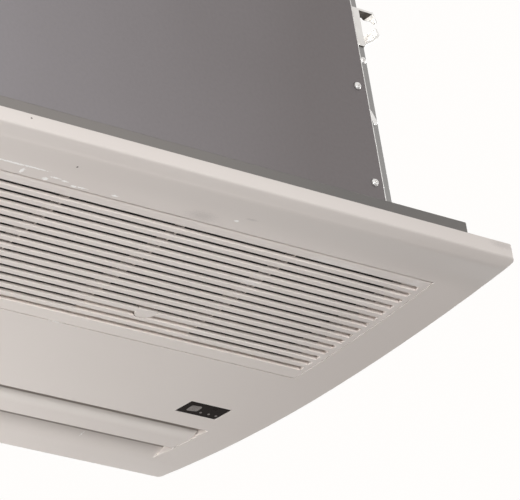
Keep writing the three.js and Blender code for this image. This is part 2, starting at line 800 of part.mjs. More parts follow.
function airFilter(side) {
  const rear = hingeY - grilleWall + ribInset + filterGap;
  const front = grilleFront - grilleWall - filterGap;
  const x0 = filterMiddleGap / 2;
  const x1 = grilleEnd - 2 * grilleRib;
  const z0 = ribTop + sheetGap;
  const z1 = z0 + filterHeight;
  const b = filterBorder;
  const frame = box(x0, x1, rear, front, z0, z1)
    .subtract(box(x0 + b, x1 - b, rear + b, front - b, z0 + filterNet, z1 + 1));
  const half = filterBar / 2;
  const bars = steps(x0, x1, filterBars + 1).slice(1, -1)
    .map((x) => box(x - half, x + half, rear + 2, front - 2, z0 + 0.2, z1 - 0.5));
  const y = (rear + front) / 2;
  const longBar = box(x0 + 2, x1 - 2, y - half, y + half, z0 + 0.3, z1 - 0.8);
  return onSide(union([frame, ...bars, longBar]), side);
}

// ---------------------------------------------------------------- flap
function airFlap() {
  const y1 = outletFront - flapFrontGap;
  const lip = underside(y1);
  const between = (from, to, t) => from + (to - from) * t;
  const flush = flapY + flapNose;
  const rise = flapZ - flapBead - underside(flapY);
  const nose = steps(flapY, flush, 5).map((y) => [y, underside(y) + rise * ((flush - y) / flapNose) ** 2]);
  const level = steps(flush, y1, 3).slice(1).map((y) => [y, underside(y)]);
  const back = steps(1, 0, 5).map((t) => [between(flapY, y1 + sheetGap, t),
    between(flapZ + flapBead, lip + flapLip, t) - flapSag * Math.sin(Math.PI * t)]);
  const end = outletEnd - flapGap;
  const blade = prismX([...nose, ...level, ...back], -end, end);
  const bead = rodX(-end, end, flapY, flapZ, flapBead, 12);
  const pin = outletEnd + wellWall;
  return union([blade, bead, rodX(-pin, pin, flapY, flapZ, flapPin, 10)]);
}

function flapMotor() {
  const x0 = outletEnd + wellWall + flapMotorGap;
  const radius = flapZ - underside(flapY) - panelWall - flapMotorGap;
  const body = rodX(x0, x0 + flapMotorLength, flapY, flapZ, radius, 16);
  const ears = box(x0, x0 + flapMotorEarWall, flapY - flapMotorEar, flapY + flapMotorEar,
    flapZ - flapMotorEarWall * 2, flapZ + flapMotorEarWall * 2);
  return body.add(ears);
}

// ---------------------------------------------------------------- receiver window
const windowX1 = panelEnd - windowEndInset;
const windowX0 = windowX1 - windowLength;
const windowY1 = frontEdge - windowInset;
const windowY0 = windowY1 - windowDepth;
const buttonX = (windowX0 + windowX1) / 2 + buttonOffset;
const buttonY = windowY0 + buttonInset;

function windowPrism(grow, low, high) {
  return prismX(crownBand(windowY0 + seat - grow, windowY1 - seat + grow, low, high, 3),
    windowX0 + seat - grow, windowX1 - seat + grow);
}

function displayWindow() {
  const bore = rodZ(-far, far, buttonX, buttonY, buttonRadius + sheetGap, 12);
  return windowPrism(0, seat, windowHousing).subtract(bore);
}

// The button's stem passes through the window, and its flange stops it from falling out
function windowButton() {
  const rear = buttonY - buttonRadius - buttonFlange;
  const front = buttonY + buttonRadius + buttonFlange;
  const flangeBottom = Math.max(underside(rear), underside(front)) + windowHousing + seat;
  const stem = rodZ(underside(buttonY) + seat, flangeBottom + 1, buttonX, buttonY, buttonRadius, 12);
  const flangeDisc = rodZ(flangeBottom, flangeBottom + 2 * buttonTravel, buttonX, buttonY,
    buttonRadius + buttonFlange, 12);
  return stem.add(flangeDisc);
}

// ---------------------------------------------------------------- fan
const bladeInner = fanRadius - bladeDepth;

function polar(radius, degrees) {
  const angle = THREE.MathUtils.degToRad(degrees);
  return [fanY + radius * Math.cos(angle), fanZ + radius * Math.sin(angle)];
}

// Forward-curved blade section, thickest in the middle
function bladeOutline(degrees) {
  const edge = (bladeEdge * bladeThickness) / 2;
  const middleRadius = (bladeInner + fanRadius) / 2;
  const camber = [polar(bladeInner, degrees), polar(middleRadius, degrees + bladeLean * 0.28),
    polar(fanRadius - edge, degrees + bladeLean)];
  const halves = [edge, bladeThickness / 2, edge];
  const offset = (sign) => camber.map(([y, z], i) => {
    const [ay, az] = camber[Math.max(i - 1, 0)];
    const [by, bz] = camber[Math.min(i + 1, 2)];
    const length = Math.hypot(by - ay, bz - az);
    return [y - (sign * halves[i] * (bz - az)) / length, z + (sign * halves[i] * (by - ay)) / length];
  });
  return [...offset(1), ...offset(-1).reverse()];
}

// Rotor: rings of blades between discs, a hub for the motor's shaft and a stub for the bearing
function fanRotor() {
  const t = discThickness;
  const blades = [];
  for (let i = 0; i < bladeCount; i++) {
    blades.push(prismX(bladeOutline((i * 360) / bladeCount), -fanEnd + t / 2, fanEnd - t / 2));
  }
  const endDisc = rodX(fanEnd - t, fanEnd, fanY, fanZ, fanRadius, bladeCount);
  const rings = steps(-fanEnd, fanEnd, fanBays).slice(1, -1).map((x) =>
    rodX(x - t / 2, x + t / 2, fanY, fanZ, fanRadius, bladeCount)
      .subtract(rodX(x - t, x + t, fanY, fanZ, bladeInner - t, 20)));
  const hub = rodX(fanEnd - t - hubDepth, fanEnd + hubLength, fanY, fanZ, hubRadius, 16);
  const stub = rodX(-bulkheadOuter - bearingLength, -fanEnd + 1, fanY, fanZ, shaftRadius, 12);
  const bore = rodX(fanEnd - 1, fanEnd + hubLength + 1, fanY, fanZ, shaftRadius + shaftClearance, 12);
  return union([...blades, endDisc, onSide(endDisc, -1), ...rings, hub, stub]).subtract(bore);
}

function motorShaft() {
  return rodX(fanEnd - 1 + shaftClearance, bulkheadOuter + shaftInMotor, fanY, fanZ, shaftRadius, 12);
}

function fanMotor() {
  const x0 = bulkheadOuter + motorStandOff;
  const x1 = x0 + motorLength;
  const can = rodX(x0, x1, fanY, fanZ, motorRadius, 24);
  const nose = rodX(x0 - motorNoseLength, x0 + 1, fanY, fanZ, motorBoss, 16);
  const tail = rodX(x1 - 1, x1 + motorBossLength, fanY, fanZ, motorBoss, 16);
  const bore = rodX(x0 - motorNoseLength - 1, bulkheadOuter + shaftInMotor + 2, fanY, fanZ,
    shaftRadius + shaftClearance, 12);
  return union([can, nose, tail]).subtract(bore);
}

// Cup that clamps the motor to the right bulkhead
function motorBracket() {
  const x0 = bulkheadOuter + seat;
  const reach = motorRadius + bracketMargin;
  const sides = 24;
  const inner = (motorRadius + motorGap) / Math.cos(Math.PI / sides);
  const plate = box(x0, x0 + bracketSheet, fanY - reach, fanY + reach, fanZ - reach, fanZ + reach);
  const cup = rodX(x0, x0 + cupLength, fanY, fanZ, inner + cupWall, sides);
  const hollow = rodX(x0 - 1, x0 + cupLength + 1, fanY, fanZ, inner, sides);
  const windows = box(x0 + cupWindowStart, x0 + cupWindowEnd, fanY - reach, fanY + reach,
    fanZ - cupWindow / 2, fanZ + cupWindow / 2);
  return cut(plate.add(cup), [hollow, windows]);
}

function fanBearing() {
  const x1 = -bulkheadOuter - seat;
  const block = rodX(x1 - bearingLength, x1, fanY, fanZ, bearingRadius, 16);
  const foot = box(x1 - bearingFootWall, x1, fanY - bearingFoot / 2, fanY + bearingFoot / 2,
    fanZ - bearingFootHeight / 2, fanZ + bearingFootHeight / 2);
  const bore = rodX(x1 - bearingLength - 1, x1 + 1, fanY, fanZ, shaftRadius + shaftClearance, 12);
  return block.add(foot).subtract(bore);
}

// Scroll behind the fan: a foam block whose inner face is a spiral that runs into the duct
function spiral() {
  return steps(0, 1, 12).map((turned) => polar(fanRadius + scrollStart + (scrollEnd - scrollStart) * turned,
    scrollFrom + (scrollTo - scrollFrom) * turned));
}

function fanScroll() {
  const rear = fanY - scrollRear;
  const outline = [...spiral(), [outletFront, insideBottom], [insideFront, insideBottom],
    [insideFront, insideTop], [rear, insideTop], [rear, fanZ + scrollNose]];
  const block = prismX(outline, -housingEnd, housingEnd);
  const sockets = vanePlaces().map((x) => rodY(outletFront - vaneFrontGap - 5, outletFront + 2, x, vaneZ,
    vanePin + vanePinGap, 8));
  return cut(block, sockets);
}

// Stabiliser: the tongue by the rotor and the duct's rear wall below it
const [tongueY, tongueZ] = polar(fanRadius + tongueGap, tongueAngle);
const ductRear = outletRear - seat;

function stabiliser() {
  const rest = insideBottom + panFrontHeight + 2 * sheetGap;
  const y = panFront + 0.5;
  const outline = [[tongueY, tongueZ], [ductRear, insideBottom], [ductRear - ductFoot, insideBottom],
    [y, rest + 5], [y, rest], [panFront - 2 * panWall, rest], [tongueY - panWall, tongueZ - tongueNose]];
  return prismX(outline, -housingEnd, housingEnd);
}

function bulkhead(side) {
  const x0 = housingEnd + seat;
  const rear = tongueY - tongueNose - panWall;
  const outline = [[rear, insideTop], [insideFront, insideTop], [insideFront, insideBottom],
    [ductRear - ductFoot, insideBottom], [panFront + 1, insideBottom + panFrontHeight + 6],
    [rear, tongueZ - tongueNose - 4]];
  const hole = rodX(x0 - 1, bulkheadOuter + 1, fanY, fanZ, side > 0 ? motorHole : bearingHole, 16);
  return onSide(prismX(outline, x0, bulkheadOuter).subtract(hole), side);
}

// ---------------------------------------------------------------- coil
const coilTurn = THREE.MathUtils.degToRad(coilSlope);
const coilAlong = [-Math.cos(coilTurn), Math.sin(coilTurn)];
const coilAcross = [Math.sin(coilTurn), Math.cos(coilTurn)];
const coilFoot = panRear + coilInPan;
const coilEndX = casingEnd - coilEndInset;
const coilHeight = casingHeight - coilRise - coilTopGap - (coilThickness / 2) * coilAcross[1];
const coilFace = coilHeight / coilAlong[1];
const tubeCount = 2 * Math.floor((coilFace - tubePitch) / (2 * tubePitch)); // even, as they join in pairs

// A point of the coil's section, from its lower end along the slope and across it
function coilPoint(along, across) {
  return [coilFoot + along * coilAlong[0] + across * coilAcross[0],
    casingBottom + coilRise + along * coilAlong[1] + across * coilAcross[1]];
}

function coilSection(grow) {
  const h = coilThickness / 2 + grow;
  const end = coilFace + grow;
  return [coilPoint(-grow, -h), coilPoint(-grow, h), coilPoint(end, h), coilPoint(end, -h)];
}

function tubePoint(index, row) {
  return coilPoint(coilFace / 2 + (index - (tubeCount - 1) / 2) * tubePitch, row * rowOffset);
}

function returnBend(from, to, x) {
  const middle = [(from[0] + to[0]) / 2, (from[1] + to[1]) / 2];
  const half = [(to[0] - from[0]) / 2, (to[1] - from[1]) / 2];
  const points = arc(0, 0, 1, 180, 0, 4).map(([across, out]) => [x + out * Math.hypot(...half),
    middle[0] + half[0] * across, middle[1] + half[1] * across]);
  return routed([[x - 1, ...from], ...points, [x - 1, ...to]], tubeRadius, 5, 7);
}

// End plate of the coil, with the bends that join its tubes in pairs
function coilEnd(side) {
  const x0 = coilEndX + seat;
  const x1 = x0 + coilPlate;
  const plate = prismX(coilSection(coilPlateLap), x0, x1);
  const top = coilPoint(coilFace, 0);
  const foot = coilPoint(0, 0);
  const legs = [box(x0, x1, foot[0] - 14, foot[0] + 10, panFloorZ + sheetGap, foot[1] + 8),
    box(x0, x1, top[0] - 6, top[0] + 12, top[1] - 8, insideTop)];
  const bends = [];
  for (const row of [-1, 1]) {
    for (let i = side > 0 ? 0 : 1; i + 1 < tubeCount; i += 2) {
      bends.push(returnBend(tubePoint(i, row), tubePoint(i + 1, row), x1));
    }
  }
  if (side < 0) bends.push(returnBend(tubePoint(0, -1), tubePoint(0, 1), x1));
  return onSide(union([plate, ...legs, ...bends]), side);
}

function coilFins() {
  return prismX(coilSection(0), -coilEndX, coilEndX);
}

// Refrigerant pipes leave the coil's top and pass through the left end plate
const gasExit = [casingRear + gasInset, casingTop - gasFromTop];
const liquidExit = [casingRear + liquidInset, casingTop - liquidFromTop];

function refrigerantPipe(row, exit, radius) {
  const x0 = -coilEndX - seat - coilPlate - seat;
  const start = tubePoint(tubeCount - 1, row);
  const end = -casingEnd - pipeReach;
  return routed([[x0, ...start], [x0 - 14, ...start], [x0 - 40, ...exit], [-casingEnd + 20, ...exit],
    [-casingEnd - 10, ...exit], [end, ...exit]], radius, 8, 16);
}

function flareNut(exit, radius) {
  const x0 = -casingEnd - pipeReach + nutInset;
  const x1 = x0 + radius * 4;
  const hex = rodX(x0, x1, ...exit, radius * 2.1, 6);
  return hex.subtract(rodX(x0 - 1, x1 + 1, ...exit, radius + sheetGap, 10));
}

// ---------------------------------------------------------------- drain
const panFloorZ = insideBottom + panFloor;

function drainPan() {
  const z0 = insideBottom;
  const end = casingEnd - panEndInset;
  const rear = panRear + panWall;
  const front = panFront - panWall;
  const outline = [[panRear, z0], [panFront, z0], [panFront, z0 + panFrontHeight],
    [front, z0 + panFrontHeight], [front - panDraft, panFloorZ], [rear + panDraft, panFloorZ],
    [rear, z0 + panRearHeight], [panRear, z0 + panRearHeight]];
  const trough = prismX(outline, -end, end);
  const wall = box(end - panWall, end, panRear + 1, panFront - 1, panFloorZ - 1, z0 + panEndHeight);
  return union([trough, wall, onSide(wall, -1)]);
}

const pumpX = -casingEnd + pumpFromEnd;
const pumpY = panFront - panWall - pumpGap - pumpRadius;
const pumpZ = panFloorZ + sheetGap;
const floatY = pumpY - pumpRadius - floatRadius - floatGap;
const floatZ = pumpZ + collarTop + seat;
const drainExit = [pumpY, casingTop - gasFromTop];

// The pump carries an arm whose stem guides the float
function drainPump() {
  const headZ = pumpZ + pumpHeight;
  const foot = rodZ(pumpZ, pumpZ + pumpFoot, pumpX, pumpY, pumpFootRadius, 12);
  const body = rodZ(pumpZ + pumpFoot - 2, headZ, pumpX, pumpY, pumpRadius, 20);
  const cap = rodZ(headZ - 1, headZ + pumpCap, pumpX, pumpY, pumpRadius - 4, 16);
  const armZ = floatZ + floatHeight + floatTravel + armRoom;
  const arm = box(pumpX - armWall, pumpX + armWall, floatY - armWall, pumpY - pumpRadius + 2, armZ,
    armZ + armWall);
  const stem = rodZ(pumpZ + collarTop - 1, armZ + 1, pumpX, floatY, stemRadius, 10);
  const collar = rodZ(pumpZ + collarTop - 2, pumpZ + collarTop, pumpX, floatY, collarRadius, 10);
  return union([foot, body, cap, arm, stem, collar]);
}

function floatRing() {
  return rodZ(floatZ, floatZ + floatHeight, pumpX, floatY, floatRadius, 16)
    .subtract(rodZ(floatZ - 1, floatZ + floatHeight + 1, pumpX, floatY, floatBore, 12));
}

// Hose from the pump's head, with one elbow into the spigot
function drainHose() {
  const [y, exitZ] = drainExit;
  const z0 = pumpZ + pumpHeight + pumpCap + seat;
  const end = -casingEnd + spigotInside + seat;
  const elbow = arc(pumpX - hoseBend, exitZ - hoseBend, hoseBend, 0, 90, 3).map(([x, z]) => [x, y, z]);
  const upright = [[pumpX, y, z0], [pumpX, y, (z0 + exitZ - hoseBend) / 2]];
  const middle = [(pumpX - hoseBend + end) / 2, y, exitZ];
  return routed([...upright, ...elbow, middle, [end, y, exitZ]], hoseRadius, 8, 14);
}

function drainSpigot() {
  const inner = -casingEnd + spigotInside;
  const outer = -casingEnd - spigotOutside;
  const radius = spigotBore + spigotWall;
  const tube = rodX(outer, inner, ...drainExit, radius, 16);
  const collarX = -casingEnd + sheet + seat;
  const collar = rodX(collarX, collarX + 1.5, ...drainExit, radius + spigotCollar, 16);
  return tube.add(collar).subtract(rodX(outer - 1, inner - 3, ...drainExit, spigotBore, 16));
}

// ---------------------------------------------------------------- air vanes
function vanePlaces() {
  const right = Array.from({ length: vanesPerGroup }, (_, i) => (i + 0.5) * vanePitch);
  return [...right.map((x) => -x), ...right];
}

// A vane hangs on one pin in the scroll, follows the duct's slanted rear wall, and has a notch
// for the link bar with a pin across it
function airVane(x) {
  const low = vaneZ - vaneBelow;
  const high = vaneZ + vaneAbove;
  const front = outletFront - vaneFrontGap;
  const lean = (ductRear - tongueY) / (tongueZ - insideBottom);
  const rear = (z) => ductRear + vaneRearGap - (z - insideBottom) * lean;
  const blade = prismX([[rear(low), low], [front, low], [front, high], [rear(high), high]],
    x - vaneThickness / 2, x + vaneThickness / 2);
  const reach = linkDepth / 2 + linkSideGap;
  const notch = box(x - vaneThickness, x + vaneThickness, linkY - reach, linkY + reach, low - 1,
    linkZ + linkBar + 1);
  const pivot = rodY(front - 6, outletFront, x, vaneZ, vanePin, 6);
  const link = rodY(linkY - reach - 0.5, linkY + reach + 0.5, x, linkZ, linkPin, 6);
  return union([blade.subtract(notch), pivot, link]);
}

function vaneLink(side) {
  const first = 0.5 * vanePitch;
  const last = (vanesPerGroup - 0.5) * vanePitch;
  const y0 = linkY - linkDepth / 2;
  const y1 = linkY + linkDepth / 2;
  const bar = box(first - linkEnd, last + linkEnd, y0, y1, linkZ - linkBar / 2, linkZ + linkBar / 2);
  const holes = steps(first, last, vanesPerGroup - 1).map((x) => rodY(y0 - 1, y1 + 1, x, linkZ,
    linkPin + linkPinGap, 8));
  return onSide(cut(bar, holes), side);
}

// ---------------------------------------------------------------- electrical box
const boxX1 = casingEnd - traySide;
const boxX0 = boxX1 - boxWidth;
const boxY0 = casingRear + boxRearInset;
const boxY1 = panRear - boxPanGap;
const boxZ0 = casingBottom + boxRise;
const boxZ1 = casingTop - boxTopGap;

function electricalBox() {
  const hollow = box(boxX0 + sheet, boxX1 - sheet, boxY0 + sheet, boxY1 - sheet, boxZ0 - 1, boxZ1 - sheet);
  return box(boxX0, boxX1, boxY0, boxY1, boxZ0, boxZ1).subtract(hollow);
}

function boxCover() {
  return box(boxX0, boxX1, boxY0, boxY1, boxZ0 - seat - sheet, boxZ0 - seat);
}

// Terminal block beside the board, on the box's outer wall
const boxWallX = boxX1 - sheet - seat;
const terminalY1 = boxY1 - sheet - 5;
const terminalY0 = terminalY1 - terminalWidth;

function circuitBoard() {
  const x1 = boxWallX - boardStandOff;
  const y0 = boxY0 + boardMargin;
  const y1 = terminalY0 - boardMargin / 2;
  const z0 = boxZ0 + 2.5 * boardMargin;
  const board = box(x1 - boardThickness, x1, y0, y1, z0, boxZ1 - boardMargin - 2);
  const pitch = (y1 - y0 - boardMargin) / relayCount;
  const relays = Array.from({ length: relayCount }, (_, i) => {
    const y = y0 + boardMargin + i * pitch;
    return box(x1 - relayRise, x1 - 1, y, y + pitch * relayShare, z0 + 10, z0 + 10 + relayHeight);
  });
  const capacitor = rodX(x1 - capacitorRise, x1 - 1, y0 + 2 * capacitorRadius, (boxZ0 + boxZ1) / 2 + 25,
    capacitorRadius, 8);
  const feet = [y0 + boardMargin, y1 - boardMargin].map((y) => rodX(x1 - 1, boxWallX, y,
    (boxZ0 + boxZ1) / 2 - 25, 2.5, 8));
  return union([board, ...relays, capacitor, ...feet]);
}

function terminalBlock() {
  const z0 = boxZ0 + 10;
  const base = box(boxWallX - terminalDepth, boxWallX, terminalY0, terminalY1, z0, z0 + terminalHeight);
  const fins = Array.from({ length: terminalFins }, (_, i) => {
    const z = z0 + 4 + i * terminalPitch;
    const x = boxWallX - terminalDepth;
    return box(x - 6, x + 1, terminalY0, terminalY1, z - 1, z + 1);
  });
  return union([base, ...fins]);
}

// ---------------------------------------------------------------- assembly
place('casing_top', topPlate(), galvanised);
place('casing_rear', wallPlate(-1), galvanised);
place('casing_front', wallPlate(1), galvanised);
place('casing_end_right', endPlate(1), galvanised);
place('casing_end_left', leftEndPlate(), galvanised);
place('casing_bottom', bottomPlate(), galvanised);
place('hanger_rear_right', hangerBracket(1, -1), zincPlated);
place('hanger_rear_left', hangerBracket(-1, -1), zincPlated);
place('hanger_front_right', hangerBracket(1, 1), zincPlated);
place('hanger_front_left', hangerBracket(-1, 1), zincPlated);

place('panel_moulding', panelMoulding(), ivoryPlastic);
place('panel_frame', upperFrame(), darkFrame);
place('panel_seal', sealRing(), foam);
place('intake_grille', intakeGrille(), ivoryPlastic);
place('filter_left', airFilter(-1), blackPlastic);
place('filter_right', airFilter(1), blackPlastic);
place('latch_left', latchTab(-1), ivoryPlastic);
place('latch_right', latchTab(1), ivoryPlastic);
place('air_flap', airFlap(), ivoryPlastic);
place('flap_motor', flapMotor(), greyPlastic);
place('display_window', displayWindow(), blackPlastic);
place('window_button', windowButton(), blackPlastic);

place('fan_rotor', fanRotor(), blackPlastic);
place('motor_shaft', motorShaft(), zincPlated);
place('fan_motor', fanMotor(), galvanised);
place('motor_bracket', motorBracket(), galvanised);
place('fan_bearing', fanBearing(), blackPlastic);
place('fan_scroll', fanScroll(), whiteFoam);
place('fan_stabiliser', stabiliser(), greyPlastic);
place('bulkhead_left', bulkhead(-1), galvanised);
place('bulkhead_right', bulkhead(1), galvanised);

place('coil_fins', coilFins(), aluminium);
place('coil_end_left', coilEnd(-1), copper);
place('coil_end_right', coilEnd(1), copper);
place('gas_pipe', refrigerantPipe(1, gasExit, gasPipe), copper);
place('liquid_pipe', refrigerantPipe(-1, liquidExit, liquidPipe), copper);
place('gas_nut', flareNut(gasExit, gasPipe), brass);
place('liquid_nut', flareNut(liquidExit, liquidPipe), brass);

place('drain_pan', drainPan(), whiteFoam);
place('drain_pump', drainPump(), greyPlastic);
place('drain_float', floatRing(), whiteFoam);
place('drain_hose', drainHose(), greyPlastic);
place('drain_spigot', drainSpigot(), greyPlastic);

vanePlaces().forEach((x, i) => {
  const group = i < vanesPerGroup ? 'left' : 'right';
  place(`air_vane_${group}_${(i % vanesPerGroup) + 1}`, airVane(x), blackPlastic);
});
place('vane_link_left', vaneLink(-1), blackPlastic);
place('vane_link_right', vaneLink(1), blackPlastic);

place('electrical_box', electricalBox(), galvanised);
place('electrical_cover', boxCover(), galvanised);
place('circuit_board', circuitBoard(), boardGreen);
place('terminal_block', terminalBlock(), blackPlastic);

export default assembly;
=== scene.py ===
# %% [markdown]
# # A one-way ceiling cassette, with its finished surfaces
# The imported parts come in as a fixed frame. Every cell below gives one group of parts its
# fine surface: softened edges, small fasteners, and a material that is worked out by nodes.

# %% Load the frame
import json
import math
import random

import bmesh
import bpy
from mathutils import Matrix, Vector

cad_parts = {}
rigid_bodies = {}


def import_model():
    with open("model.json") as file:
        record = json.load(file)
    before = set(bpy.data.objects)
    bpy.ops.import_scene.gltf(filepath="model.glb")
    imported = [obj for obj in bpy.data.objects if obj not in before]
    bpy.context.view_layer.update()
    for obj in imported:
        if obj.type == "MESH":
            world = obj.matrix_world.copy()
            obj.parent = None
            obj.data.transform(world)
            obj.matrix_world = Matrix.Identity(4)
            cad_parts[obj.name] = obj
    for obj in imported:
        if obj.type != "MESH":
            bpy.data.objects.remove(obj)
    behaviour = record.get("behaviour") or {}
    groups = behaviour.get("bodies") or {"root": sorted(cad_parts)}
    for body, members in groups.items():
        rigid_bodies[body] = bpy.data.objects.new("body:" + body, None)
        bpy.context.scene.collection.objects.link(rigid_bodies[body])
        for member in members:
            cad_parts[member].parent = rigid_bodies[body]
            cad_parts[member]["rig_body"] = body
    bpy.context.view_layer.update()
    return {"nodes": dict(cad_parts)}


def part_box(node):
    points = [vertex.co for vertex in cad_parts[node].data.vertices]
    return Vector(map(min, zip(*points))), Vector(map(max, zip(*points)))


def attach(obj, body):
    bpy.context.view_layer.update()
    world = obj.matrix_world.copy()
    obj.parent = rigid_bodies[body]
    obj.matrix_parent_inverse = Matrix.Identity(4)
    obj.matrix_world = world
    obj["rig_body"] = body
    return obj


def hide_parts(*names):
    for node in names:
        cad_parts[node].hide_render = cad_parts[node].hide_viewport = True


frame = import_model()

MM = 0.001
nodes = frame["nodes"]

# %% [markdown]
# ## Camera
# The picture was taken with a long lens from below and behind. A long lens keeps parallel edges
# nearly parallel, so the camera stands over four metres away. Three angles aim it: azimuth,
# elevation and a small roll, because the picture's horizon isn't level.

# %% Camera at the picture's angle
CAMERA_PLACE = Vector((-2.27279, -2.70795, -1.80329))
CAMERA_AZIMUTH = math.radians(45.039)
CAMERA_ELEVATION = math.radians(26.3515)
CAMERA_ROLL = math.radians(-9.4264)
FOCAL_PIXELS = 4941.66
PICTURE_WIDTH = 520
SENSOR = 36.0
FARTHEST = 50


def add_object(name, data):
    """A new object in the scene."""
    obj = bpy.data.objects.new(name, data)
    bpy.context.scene.collection.objects.link(obj)
    return obj


def aim(azimuth, elevation, roll):
    """Turns the camera's own axes to a view along +Y turned by azimuth, raised and rolled."""
    flat = math.cos(elevation)
    forward = Vector((flat * math.sin(azimuth), flat * math.cos(azimuth), math.sin(elevation)))
    level = Vector((math.cos(azimuth), -math.sin(azimuth), 0))
    up = level.cross(forward)
    right = level * math.cos(roll) + up * math.sin(roll)
    top = right.cross(forward)
    return Matrix((right, top, -forward)).transposed()


camera_data = bpy.data.cameras.new("camera")
camera_data.sensor_width = SENSOR
camera_data.lens = FOCAL_PIXELS / PICTURE_WIDTH * SENSOR
camera_data.clip_end = FARTHEST
camera = add_object("camera", camera_data)
camera.matrix_world = Matrix.Translation(CAMERA_PLACE) @ aim(
    CAMERA_AZIMUTH, CAMERA_ELEVATION, CAMERA_ROLL).to_4x4()
bpy.context.scene.camera = camera
print("lens", round(camera_data.lens, 1))

# %% [markdown]
# ## Studio
# The unit hangs from a ceiling and is seen from below, so the floor lies far down, where no view's
# camera goes under it. The light is soft: an even sky, a large lamp behind and a little below the
# rim, which lights the rear faces, a weak one that lights the walls of the slots, and lamps under
# the front, which light the panel's face. Three more light the top and the ends, which other views
# show. The camera sees a white sky and a pale floor, through the Is Camera Ray output, while the
# object sees a greyer sky.

# %% Floor, sky and lamps
FLOOR_DEPTH = 24.0
FLOOR_SIZE = 160.0
FLOOR_CELLS = 4
FLOOR_COLOUR = (0.83, 0.82, 0.81, 1)
FLOOR_ROUGHNESS = 0.9
GLOW_COLOUR = (0.93, 0.92, 0.91, 1)
FLOOR_GLOW = 0.8
SKY_COLOUR = (1, 0.985, 0.97, 1)
SKY_FOR_OBJECT = 0.12
SKY_FOR_CAMERA = 1.0


def new_material(name):
    """A new material with its node tree and its Principled shader."""
    material = bpy.data.materials.new(name)
    material.use_nodes = True
    tree = material.node_tree
    return material, tree, tree.nodes["Principled BSDF"]


def link(tree, output, socket):
    """Joins an output to an input."""
    tree.links.new(output, socket)


def combined(tree, operation, first, second):
    """One Math node. The second input may be a number."""
    node = tree.nodes.new("ShaderNodeMath")
    node.operation = operation
    link(tree, first, node.inputs[0])
    if isinstance(second, (int, float)):
        node.inputs[1].default_value = second
    else:
        link(tree, second, node.inputs[1])
    return node.outputs[0]


def floor_finish():
    """A pale matte floor, which the camera sees partly as a glow."""
    material, tree, shader = new_material("studio_floor")
    shader.inputs["Base Color"].default_value = FLOOR_COLOUR
    shader.inputs["Roughness"].default_value = FLOOR_ROUGHNESS
    glow = tree.nodes.new("ShaderNodeEmission")
    glow.inputs["Color"].default_value = GLOW_COLOUR
    rays = tree.nodes.new("ShaderNodeLightPath")
    blend = tree.nodes.new("ShaderNodeMixShader")
    link(tree, combined(tree, "MULTIPLY", rays.outputs["Is Camera Ray"], FLOOR_GLOW), blend.inputs[0])
    link(tree, shader.outputs[0], blend.inputs[1])
    link(tree, glow.outputs[0], blend.inputs[2])
    link(tree, blend.outputs[0], tree.nodes["Material Output"].inputs["Surface"])
    return material


def studio_sky():
    """A sky at full strength for the camera, for mirrors and through clear surfaces, and dim for the rest."""
    world = bpy.data.worlds.new("studio_sky")
    world.use_nodes = True
    tree = world.node_tree
    background = tree.nodes["Background"]
    background.inputs["Color"].default_value = SKY_COLOUR
    rays = tree.nodes.new("ShaderNodeLightPath")
    seen = rays.outputs["Is Camera Ray"]
    for name in ("Is Glossy Ray", "Is Transmission Ray"):
        seen = combined(tree, "MAXIMUM", seen, rays.outputs[name])
    strength = tree.nodes.new("ShaderNodeMapRange")
    strength.inputs["To Min"].default_value = SKY_FOR_OBJECT
    strength.inputs["To Max"].default_value = SKY_FOR_CAMERA
    link(tree, seen, strength.inputs["Value"])
    link(tree, strength.outputs["Result"], background.inputs["Strength"])
    return world


def facing(direction):
    """The turn that points Z along a direction."""
    return Vector(direction).to_track_quat("Z", "Y").to_matrix().to_4x4()


def lamp(name, place, target, size, power, colour=(1, 1, 1)):
    """A square area lamp that looks at a point. Places and size in metres, power in watts."""
    data = bpy.data.lights.new(name, "AREA")
    data.color = colour
    data.shape = "SQUARE"
    data.size = size
    data.energy = power
    obj = add_object(name, data)
    obj.matrix_world = Matrix.Translation(place) @ facing(Vector(place) - Vector(target))


floor_mesh = bmesh.new()
bmesh.ops.create_grid(floor_mesh, x_segments=FLOOR_CELLS, y_segments=FLOOR_CELLS, size=FLOOR_SIZE / 2)
bmesh.ops.translate(floor_mesh, verts=floor_mesh.verts, vec=(0, 0, -FLOOR_DEPTH))
floor_data = bpy.data.meshes.new("studio_floor")
floor_mesh.to_mesh(floor_data)
floor_mesh.free()
floor_data.materials.append(floor_finish())
floor = add_object("studio_floor", floor_data)

bpy.context.scene.world = studio_sky()
bpy.context.scene.view_settings.view_transform = "Standard"

lamp("rear_lamp", (-0.4, -2.3, -0.6), (0.1, 0, 0), 0.7, 49, (0.98, 0.99, 1))
lamp("slot_lamp", (-1.7, -1.8, -1.3), (0.1, 0, 0), 0.7, 1.5)
lamp("left_lamp", (-0.35, 0.65, -0.65), (0, 0.1, 0), 0.4, 7.5)
lamp("front_lamp", (-0.3, 1.9, -1.0), (0.2, 0, 0), 0.8, 20)
lamp("top_lamp", (0.5, 1.3, 2.4), (0, 0, 0.2), 1.6, 110)
lamp("right_lamp", (2.6, 0.7, 0.5), (0.4, 0, 0.1), 1.2, 60)
lamp("far_lamp", (-2.6, 1.1, 0.6), (-0.4, 0, 0.1), 1.2, 60)
print("studio ready")

# %% [markdown]
# ## Softened copies of the parts
# Real sheet metal and moulded plastic have no sharp edges: a small radius catches the light along
# each one. A copy of the part's mesh is welded, its flat faces are joined, and a Bevel modifier
# rounds the edges. The copy stands for the part, so the part itself isn't shown.

# %% Helpers for pieces
FLAT_ANGLE = math.radians(0.2)
BEVEL_ANGLE = math.radians(32)
BEVEL_SEGMENTS = 2
SMOOTH_ANGLE = math.radians(34)
WELD = 0.005 * MM


